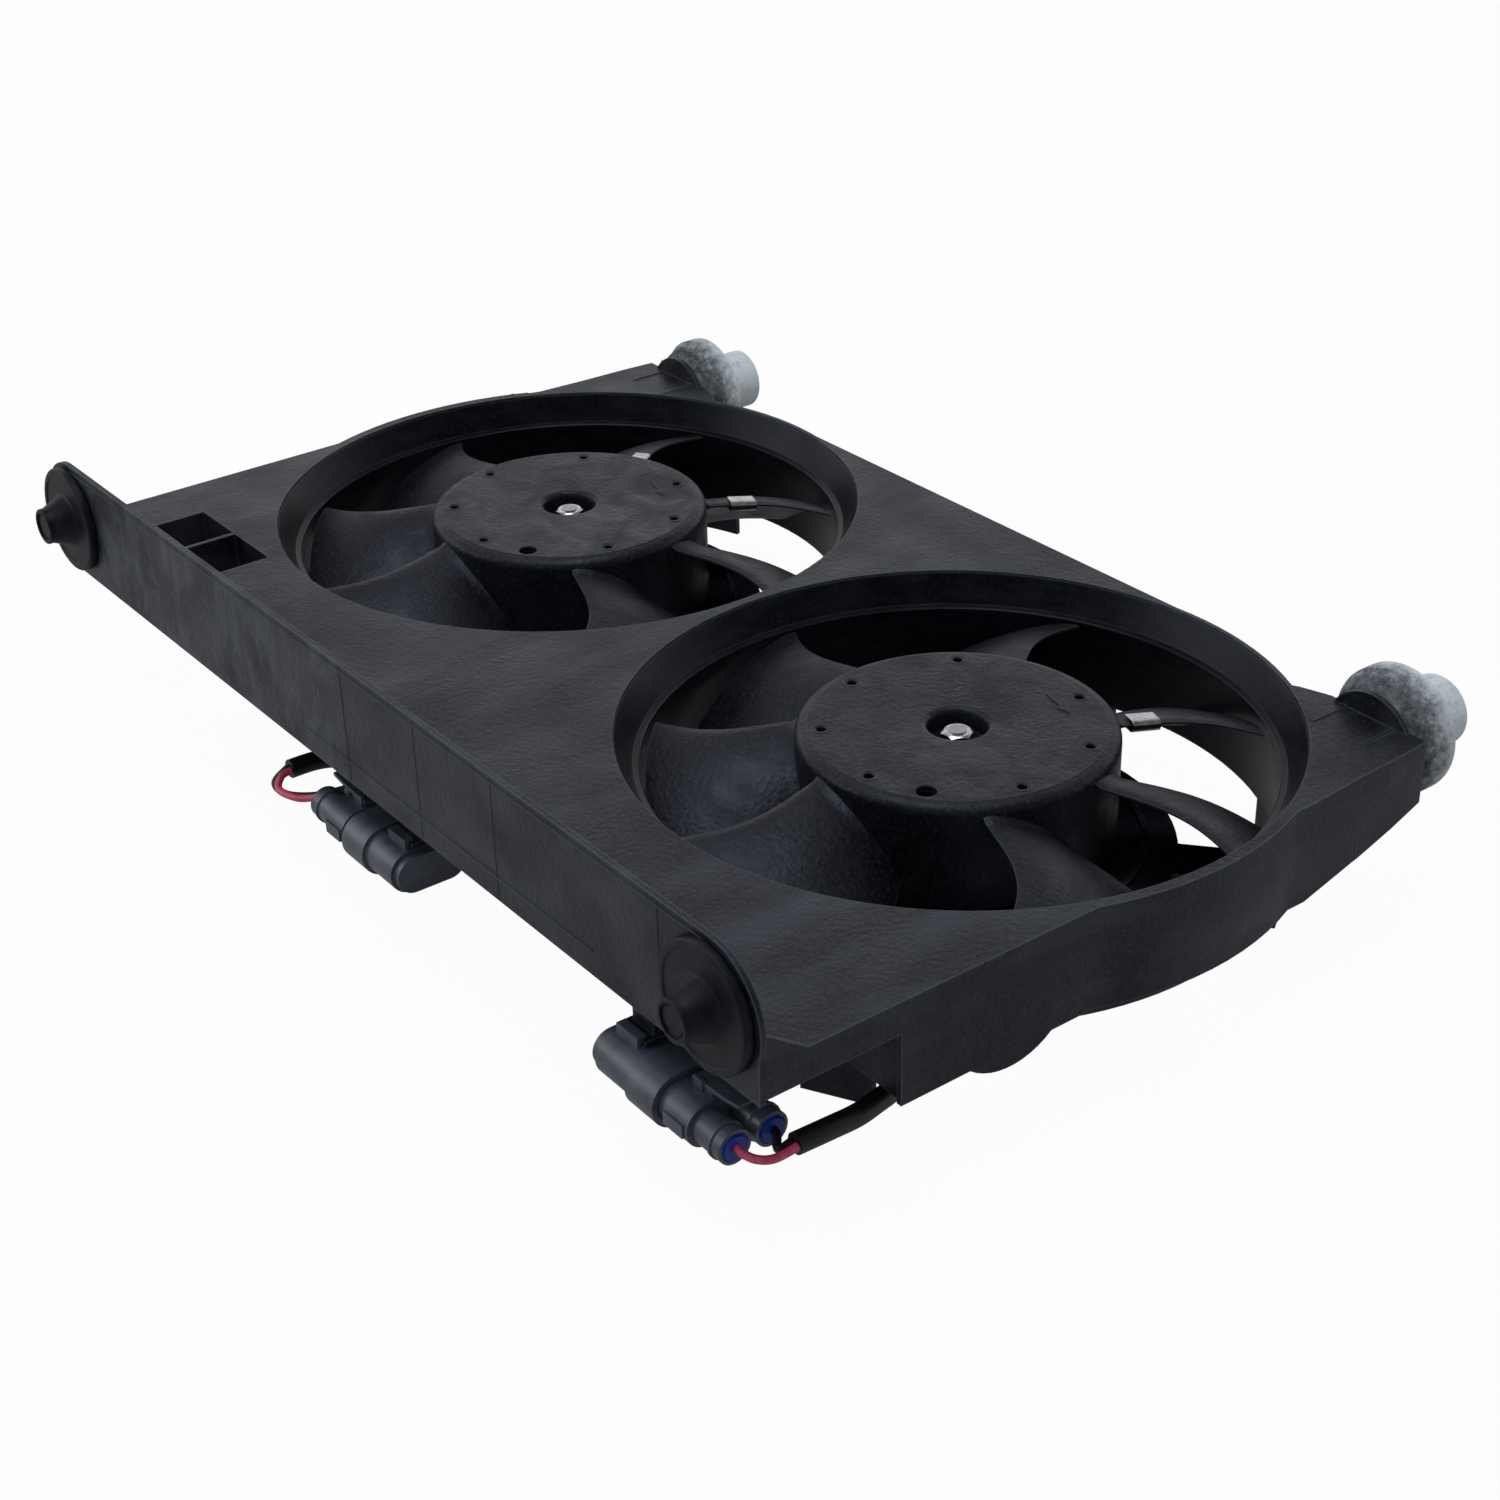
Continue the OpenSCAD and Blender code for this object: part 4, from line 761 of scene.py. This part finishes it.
def fan_moulding(side):
    """Hub, blades and raised marks of one fan, which are one moulding."""
    form = bmesh.new()
    revolve(form, hub_profile())
    hub = as_object(f"{side}_fan_hub", form, fan_place(side))
    cut(hub, hub_holes(side))
    shade_smooth(hub.data, 30)

    form = bmesh.new()
    for angle in BLADE_ANGLES:
        add_blade(form, turn_about_z(angle))
    blades = as_object(f"{side}_fan_blades", form, fan_place(side), 50)
    relief = hub_relief(side)
    for piece in (hub, blades, relief):
        piece.data.materials.append(FINISH["fan"])
        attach(piece, f"{side}_rotor")
        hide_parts(f"{side}_fan")


# Tunnel liner: the funnel runs on down to a thin lip that hangs over the blade tips

OPENING_R = 149.5
TUNNEL_R = 141.0
TUNNEL_H = 58.3
FUNNEL_H = 15.5
LIP_R = 138.6
LIP_T = 1.6


def tunnel_liner(side):
    """Thin skin inside a tunnel, from the edge of the opening down past the lip to the tunnel's end."""
    profile = [(OPENING_R + 0.5, -1.6), (OPENING_R - 0.6, -1.6), (TUNNEL_R + 0.5, -FUNNEL_H + 0.6),
               (LIP_R + 0.5, -FUNNEL_H), (LIP_R, -FUNNEL_H - 0.5), (LIP_R, -FUNNEL_H - LIP_T),
               (TUNNEL_R - 0.3, -FUNNEL_H - 12), (TUNNEL_R - 0.3, -TUNNEL_H + 0.5),
               (TUNNEL_R + 0.5, -TUNNEL_H + 0.5), (TUNNEL_R + 0.5, -FUNNEL_H - 1.2),
               (TUNNEL_R + 4.5, -FUNNEL_H - 0.8)]
    form = bmesh.new()
    revolve(form, profile, 192)
    piece = as_object(f"{side}_tunnel_liner", form, fan_place(side), 20)
    piece.data.materials.append(FINISH["tunnel"])
    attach(piece, "root")


# Leads: smooth round tubes along the routes of the source.
# Each node has its radius, its finish and its points, in millimetres from the panel top.

SLEEVE_R = 4.5
WIRE_R = 1.75
ROUTES = {
    "right_lead_sleeve": (SLEEVE_R, "black", (
        (286.5, -196, -50), (286.8, -180, -50.5), (285.5, -166, -52.2), (281.5, -153, -54.5),
        (275, -140, -59), (265, -129, -64), (254, -119, -66.5), (235, -99, -66.5), (216, -76.5, -66.5),
        (204, -62, -74), (197.5, -54.5, -84), (193.5, -49.8, -87.8), (190.5, -46.2, -88))),
    "left_lead_sleeve": (SLEEVE_R, "black", (
        (-75.5, -209, -50), (-75.5, -192, -51), (-73, -168, -57), (-66, -142, -64), (-54, -118, -66.5),
        (-69, -98, -66.5), (-87.4, -76.5, -66.5), (-99.4, -62, -74),
        (-105.9, -54.5, -84), (-109.9, -49.8, -87.8), (-112.9, -46.2, -88))),
    "right_power_wire": (WIRE_R, "red", (
        (275.2, -214, -50), (279, -214, -50.3), (284, -211.5, -51), (287.6, -206, -51),
        (288.3, -196.2, -50))),
    "right_ground_wire": (WIRE_R, "black", (
        (275.2, -197, -50), (278, -197.8, -50.6), (281.5, -200.5, -52), (284, -200.8, -51.6),
        (284.6, -196.2, -50))),
    "left_power_wire": (WIRE_R, "red", (
        (-41.2, -210, -50), (-46, -211, -51), (-56, -216, -54), (-68, -219, -54), (-73.6, -214.5, -51),
        (-73.7, -209.2, -50))),
    "left_ground_wire": (WIRE_R, "black", (
        (-41.2, -193, -50), (-46, -195, -52), (-56, -207, -56), (-67, -216, -57), (-75, -217.5, -54),
        (-77.3, -209.2, -50))),
}


def curve_point(before, start, end, after, t):
    """Point between start and end on the smooth curve through four points."""
    return 0.5 * (2 * start + (end - before) * t + (2 * before - 5 * start + 4 * end - after) * t * t
                  + (3 * start - before - 3 * end + after) * t ** 3)


def smooth_route(points, steps):
    """A smooth curve through the points, as the source draws it."""
    points = [Vector(p) for p in points]
    ends = [points[0]] + points + [points[-1]]
    route = []
    for i in range(len(points) - 1):
        route += [curve_point(*ends[i:i + 4], k / steps) for k in range(steps)]
    return route + [points[-1]]


def tube(form, route, radius, sides=20, end_round=0.5):
    """A round tube along a route with softened closed ends."""
    stations = [(route[0], radius - end_round)]
    stations += [(point, radius) for point in route]
    stations += [(route[-1], radius - end_round)]
    normal = None
    loops = []
    for i, (point, r) in enumerate(stations):
        before = stations[max(i - 2, 0)][0]
        after = stations[min(i + 2, len(stations) - 1)][0]
        along = (after - before).normalized()
        if normal is None:
            normal = along.orthogonal().normalized()
        normal = (normal - along * normal.dot(along)).normalized()
        side = along.cross(normal)
        loops.append([form.verts.new(point + r * (normal * math.cos(math.tau * k / sides)
                                     + side * math.sin(math.tau * k / sides))) for k in range(sides)])
    for here, there in zip(loops, loops[1:]):
        for k in range(sides):
            j = (k + 1) % sides
            form.faces.new((here[k], here[j], there[j], there[k]))
    form.faces.new(loops[0][::-1])
    form.faces.new(loops[-1])


def lead(node):
    """A wire or sleeve along its route."""
    radius, finish, points = ROUTES[node]
    form = bmesh.new()
    tube(form, smooth_route(points, 10), radius)
    piece = as_object(node + "_tube", form, panel_place(), 50)
    piece.data.materials.append(FINISH[finish])
    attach(piece, "root")
    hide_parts(node)


# Rubber pieces, turned about the axis they sit on: profiles of radius and distance along it

SEAT_GAP = 0.3
WALL_T = 2.6
PEG_X = 268.5
PEG_Z = 12.6
PEG_L = 12.6
WALL_Y = -218.6
FLANGE_R = 26.5
FLANGE_T = 4.5
NECK_R = 9.9
ISOLATORS = {"right": (262.3, 140.5), "left": (-255.0, 146.0)}
ISOLATOR_DROP = 12.4


def peg_grommet(side):
    """Flange pressed against the wall, a cone and a peg with a ring in its end."""
    out = SEAT_GAP + FLANGE_T
    end = out + PEG_L
    inside = -WALL_T - SEAT_GAP
    lip = PEG_Z - SEAT_GAP
    behind_wall = [(0.01, inside - 3), (lip - 1, inside - 3), (lip, inside - 2), (lip, inside),
                   (NECK_R, inside), (NECK_R, SEAT_GAP), (FLANGE_R - 1, SEAT_GAP)]
    rim = (rounded_corner((FLANGE_R - 1, SEAT_GAP + 1), 1, -90, 0, 4)
           + rounded_corner((FLANGE_R - 1.4, out - 1.4), 1.4, 0, 90, 5))
    face = [(FLANGE_R - 3.2, out), (FLANGE_R - 3.8, out - 0.5), (FLANGE_R - 4.4, out - 0.5),
            (15.6, out - 0.4), (14.6, out - 0.3), (13.5, out + 0.1)]
    cone = ([(12.9, out + 0.8), (9.2, end - 3.4), (9, end - 2.8), (9, end - 0.9)]
            + rounded_corner((8.2, end - 0.8), 0.8, 0, 90, 4))
    ring = [(7.2, end), (6.9, end - 0.3), (6.9, end - 1.1), (6.6, end - 1.3), (6.2, end - 1.3),
            (5.9, end - 0.9), (0.01, end - 0.8)]
    form = bmesh.new()
    revolve(form, behind_wall + rim + face + cone + ring, 96)
    sign = 1 if side == "right" else -1
    place = (panel_place() @ Matrix.Translation((sign * PEG_X, WALL_Y, PEG_Z))
             @ Matrix.Rotation(math.pi / 2, 4, "X"))
    piece = as_object(f"{side}_peg_grommet_form", form, place)
    piece.data.materials.append(FINISH["rubber"])
    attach(piece, "root")
    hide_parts(f"{side}_peg_grommet")


def isolator(side):
    """Rubber cone, drum and tail of an isolator, with the seams and rounded corners of its mould."""
    x, y = ISOLATORS[side]
    cone = [(10.1, 0), (22.9, 0), (23.5, 0.5), (24.2, 2.0), (28.2, 10.4), (28.8, 11.0), (29.2, 11.2)]
    drum = (rounded_corner((28.3, 12.2), 1.2, -30, 0, 3)
            + rounded_corner((27.7, 19.2), 1.8, 0, 90, 5))
    tail = ([(18.6, 21), (17.6, 21.2), (16.9, 21.8), (16.4, 22.8), (16.4, 31), (16.25, 31.4),
             (16.4, 31.8), (16.4, 43.3)]
            + rounded_corner((14.9, 43.5), 1.5, 0, 90, 4))
    bore = [(13.4, 45), (13.0, 44.6), (0.01, 44.6), (0.01, 33.3), (10.1, 33.3)]
    form = bmesh.new()
    revolve(form, cone + drum + tail + bore, 120)
    place = (panel_place() @ Matrix.Translation((x, y, -ISOLATOR_DROP))
             @ Matrix.Rotation(-math.pi / 2, 4, "X"))
    piece = as_object(f"{side}_isolator_form", form, place)
    piece.data.materials.append(FINISH["isolator"])
    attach(piece, "root")
    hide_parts(f"{side}_isolator")


# Block that takes the gussets in front of an isolator's boss off: width, depth and height.
# It reaches CUT_LAP into the panel, which WELD closes again.

GUSSET_BLOCK = (34, 26, 30)
CUT_LAP = 0.005


def gusset_cutter():
    """Blocks over the two gussets in front of each isolator's boss."""
    form = bmesh.new()
    for x, y in ISOLATORS.values():
        block = bmesh.ops.create_cube(form)["verts"]
        bmesh.ops.scale(form, vec=GUSSET_BLOCK, verts=block)
        bmesh.ops.translate(form, verts=block, vec=(x, y - WALL_T - GUSSET_BLOCK[1] / 2 - CUT_LAP,
                                                    GUSSET_BLOCK[2] / 2 - CUT_LAP))
    return as_object("gusset_blocks", form, panel_place())


# Balance clips: bent strips of spring steel over the leading edges of the blades.
# Each node has its fan, and the blade and the radius at which each strip sits.

CLIPS = {
    "right_balance_clip": ("right", ((1, 84.0),)),
    "left_balance_clips": ("left", ((2, 80.0), (1, 91.0))),
}
CLIP_PLAY = 0.3
CLIP_T = 0.8
CLIP_L = 14.0
CLIP_CHORD = 8.0
CLIP_BEND = 1.3
CLIP_UNDER = 1.4
CLIP_EDGE = 0.18


def clip_section(high, low, grow):
    """Line of a strip's section round the blade's edge: grow is 0 inside and CLIP_T outside."""
    middle = CLIP_BEND - SEAT_GAP / 2
    radius = CLIP_BEND + grow
    return ([(CLIP_CHORD, high + grow)]
            + rounded_corner((middle, high - CLIP_BEND), radius, 90, 180, 5)
            + rounded_corner((middle, low + CLIP_BEND), radius, 180, 270, 5)
            + [(CLIP_CHORD, low - grow)])


def balance_clips(node):
    """The strips of one node, each set on its blade's own slope and lag."""
    side, spots = CLIPS[node]
    span = TIP_R - HUB_R
    high = BLADE_T / 2 + SEAT_GAP / 2
    low = -BLADE_T / 2 - CLIP_UNDER
    inner = clip_section(high, low, 0)
    outer = clip_section(high, low, CLIP_T)
    form = bmesh.new()
    for blade, reach in spots:
        u = (reach - HUB_R) / span
        tilt = math.atan((LEAD_Z[0] - LEAD_Z[1]) / span)
        slant = math.atan(reach * math.radians(MID_LAG) * math.pi * math.cos(math.pi * u) / span)
        turn = (turn_about_z(BLADE_ANGLES[blade] + blade_lag(u))
                @ Matrix.Translation((reach, -CLIP_PLAY, blade_height(u, 0)))
                @ Matrix.Rotation(slant, 4, "Z") @ Matrix.Rotation(tilt, 4, "Y"))
        rows = []
        for x in (-CLIP_L / 2, CLIP_L / 2):
            rows.append(([form.verts.new(turn @ Vector((x, y, z))) for y, z in inner],
                         [form.verts.new(turn @ Vector((x, y, z))) for y, z in outer]))
        (inner_a, outer_a), (inner_b, outer_b) = rows
        for i in range(len(inner) - 1):
            form.faces.new((inner_a[i], inner_a[i + 1], inner_b[i + 1], inner_b[i]))
            form.faces.new((outer_a[i + 1], outer_a[i], outer_b[i], outer_b[i + 1]))
            form.faces.new((inner_a[i + 1], inner_a[i], outer_a[i], outer_a[i + 1]))
            form.faces.new((inner_b[i], inner_b[i + 1], outer_b[i + 1], outer_b[i]))
        for i in (0, -1):
            form.faces.new((inner_a[i], inner_b[i], outer_b[i], outer_a[i]))
    piece = as_object(node + "_strip", form, fan_place(side))
    bevel = piece.modifiers.new("rounded_edges", "BEVEL")
    bevel.width = CLIP_EDGE * MM
    bevel.segments = 2
    piece.data.materials.append(FINISH["spring"])
    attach(piece, f"{side}_rotor")
    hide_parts(node)


# Camera, fitted to the photograph: place in millimetres from the frame's origin, turns in degrees,
# and focal length in the photograph's pixels

CAMERA_PLACE = (859.1, -613.1, 623.8)
CAMERA_AZIMUTH = 53.5
CAMERA_ELEVATION = 29.75
CAMERA_ROLL = -1.45
FOCAL_PIXELS = 2506.1
PHOTO_PIXELS = 1500
SENSOR = 36


def photo_camera():
    """Camera where the photograph was taken from, fitted to the module's own corners."""
    azimuth = math.radians(CAMERA_AZIMUTH)
    elevation = math.radians(CAMERA_ELEVATION)
    roll = math.radians(CAMERA_ROLL)
    place = Vector(CAMERA_PLACE) * MM
    back = Vector((math.sin(azimuth) * math.cos(elevation), -math.cos(azimuth) * math.cos(elevation),
                   math.sin(elevation)))
    right = Vector((0, 0, 1)).cross(back).normalized()
    up = back.cross(right)
    turned_right = right * math.cos(roll) + up * math.sin(roll)
    turned_up = up * math.cos(roll) - right * math.sin(roll)
    camera = bpy.data.cameras.new("photo_camera")
    camera.sensor_width = SENSOR
    camera.lens = SENSOR * FOCAL_PIXELS / PHOTO_PIXELS
    camera.clip_start = 0.01
    camera.clip_end = 50
    holder = new_object("photo_camera", camera)
    holder.matrix_world = Matrix((
        (turned_right.x, turned_up.x, back.x, place.x),
        (turned_right.y, turned_up.y, back.y, place.y),
        (turned_right.z, turned_up.z, back.z, place.z),
        (0, 0, 0, 1)))
    bpy.context.scene.camera = holder


# Lamps and floor: strength of the even room light on matt surfaces, and of the ceiling in reflections
ROOM_LIGHT = 0.55
CEILING = 0.22
# The room is darker beyond the near right corner: the direction, and what is left of its light there
DARK_SIDE = (0.93, -0.36, 0.0)
DARK_SHARE = 0.22
# Shares of plain white that the camera and shining surfaces see in the floor; its half side in metres,
# and how far it lies below the motors' backs in millimetres
FLOOR_SEEN = 0.97
FLOOR_MIRRORED = 0.12
FLOOR_HALF = 15.0
FLOOR_GAP = 0.2
# Each lamp's place, what it is aimed at, its two sides in metres and its watts
LAMPS = {
    "overhead": ((0.05, -0.3, 2.0), (0, 0, 0.08), (1.4, 1.4), 17),
    "left_front": ((-1.2, -1.5, 0.8), (0, -0.1, 0.05), (1.4, 1.0), 5),
}


def soft_lamp(name, place, target, size, watts):
    """A wide lamp aimed at a point."""
    lamp = bpy.data.lights.new(name, "AREA")
    lamp.shape = "RECTANGLE"
    lamp.size, lamp.size_y = size
    lamp.energy = watts
    holder = new_object(name, lamp)
    holder.location = place
    holder.rotation_euler = (Vector(target) - Vector(place)).to_track_quat("-Z", "Y").to_euler()


def white_where_seen(tree, output, shader, camera_share, glossy_share):
    """Adds plain white to what the camera sees, and a share of it to what shining surfaces show."""
    path = add_node(tree, "ShaderNodeLightPath")
    seen = add_node(tree, "ShaderNodeMath", {"operation": "MULTIPLY", 1: camera_share},
                    {0: path.outputs["Is Camera Ray"]})
    either = add_node(tree, "ShaderNodeMath", {"operation": "MAXIMUM"},
                      {0: path.outputs["Is Glossy Ray"], 1: path.outputs["Is Transmission Ray"]})
    mirrored = add_node(tree, "ShaderNodeMath", {"operation": "MULTIPLY", 1: glossy_share},
                        {0: either.outputs[0]})
    share = add_node(tree, "ShaderNodeMath", {"operation": "MAXIMUM"},
                     {0: seen.outputs[0], 1: mirrored.outputs[0]})
    white = add_node(tree, "ShaderNodeEmission", {"Color": (1, 1, 1, 1), "Strength": 1.0})
    mix = add_node(tree, "ShaderNodeMixShader", {},
                   {0: share.outputs[0], 1: shader, 2: white.outputs[0]})
    tree.links.new(mix.outputs[0], output.inputs["Surface"])


def pale_floor():
    """Matt painted floor: pale grey, seen as white apart from the object's shadow."""
    material, tree, shader, place = surface("pale_floor", "#b0b0b0", 0.9)
    vary_colour(tree, shader, place, 900, "#adadad", "#b3b3b3")
    white_where_seen(tree, tree.nodes["Material Output"], shader.outputs[0], FLOOR_SEEN, FLOOR_MIRRORED)
    return material


def white_room(tree):
    """World: white behind the object and low in its reflections, a darker ceiling, and even soft light."""
    path = add_node(tree, "ShaderNodeLightPath")
    direction = add_node(tree, "ShaderNodeTexCoord").outputs["Generated"]
    parts = add_node(tree, "ShaderNodeSeparateXYZ", {}, {"Vector": direction})
    ceiling = add_node(tree, "ShaderNodeMapRange",
                       {"interpolation_type": "SMOOTHSTEP", "From Min": 0.3, "From Max": 0.75,
                        "To Min": 1.0, "To Max": CEILING},
                       {"Value": parts.outputs["Z"]})
    towards = add_node(tree, "ShaderNodeVectorMath", {"operation": "DOT_PRODUCT", 1: DARK_SIDE},
                       {0: direction})
    dimmed = add_node(tree, "ShaderNodeMapRange",
                      {"interpolation_type": "SMOOTHSTEP", "From Min": -0.3, "From Max": 0.6,
                       "To Min": 1.0, "To Max": DARK_SHARE},
                      {"Value": towards.outputs["Value"]})
    reflected = add_node(tree, "ShaderNodeMath", {"operation": "MULTIPLY"},
                         {0: ceiling.outputs[0], 1: dimmed.outputs[0]})
    mirrored = add_node(tree, "ShaderNodeMath", {"operation": "MAXIMUM"},
                        {0: path.outputs["Is Glossy Ray"], 1: path.outputs["Is Transmission Ray"]})
    shown = add_node(tree, "ShaderNodeMix", {"A": ROOM_LIGHT},
                     {"Factor": mirrored.outputs[0], "B": reflected.outputs[0]})
    strength = add_node(tree, "ShaderNodeMath", {"operation": "MAXIMUM"},
                        {0: shown.outputs[0], 1: path.outputs["Is Camera Ray"]})
    background = tree.nodes["Background"]
    background.inputs["Color"].default_value = (1, 1, 1, 1)
    tree.links.new(strength.outputs[0], background.inputs["Strength"])


def studio():
    """Plain pale floor, white surroundings and two soft lamps."""
    world = bpy.data.worlds.new("studio")
    bpy.context.scene.world = world
    world.use_nodes = True
    white_room(world.node_tree)

    mesh = bpy.data.meshes.new("floor")
    form = bmesh.new()
    bmesh.ops.create_grid(form, x_segments=8, y_segments=8, size=FLOOR_HALF)
    form.to_mesh(mesh)
    form.free()
    floor = new_object("floor", mesh)
    floor.location = (0, 0, -FLOOR_GAP * MM)
    mesh.materials.append(pale_floor())

    for name, (lamp_place, target, size, watts) in LAMPS.items():
        soft_lamp(name, lamp_place, target, size, watts)
    bpy.context.scene.view_settings.view_transform = "Standard"


photo_camera()
studio()

softened("shroud", "root", SHROUD_ROUNDING, cutter=gusset_cutter())
for side in SIDES:
    fan_moulding(side)
    tunnel_liner(side)
    peg_grommet(side)
    isolator(side)
for node in ROUTES:
    lead(node)
for node in CLIPS:
    balance_clips(node)
for side in SIDES:
    for part, width in EDGE_ROUNDING.items():
        softened(f"{side}_{part}", "root", width)
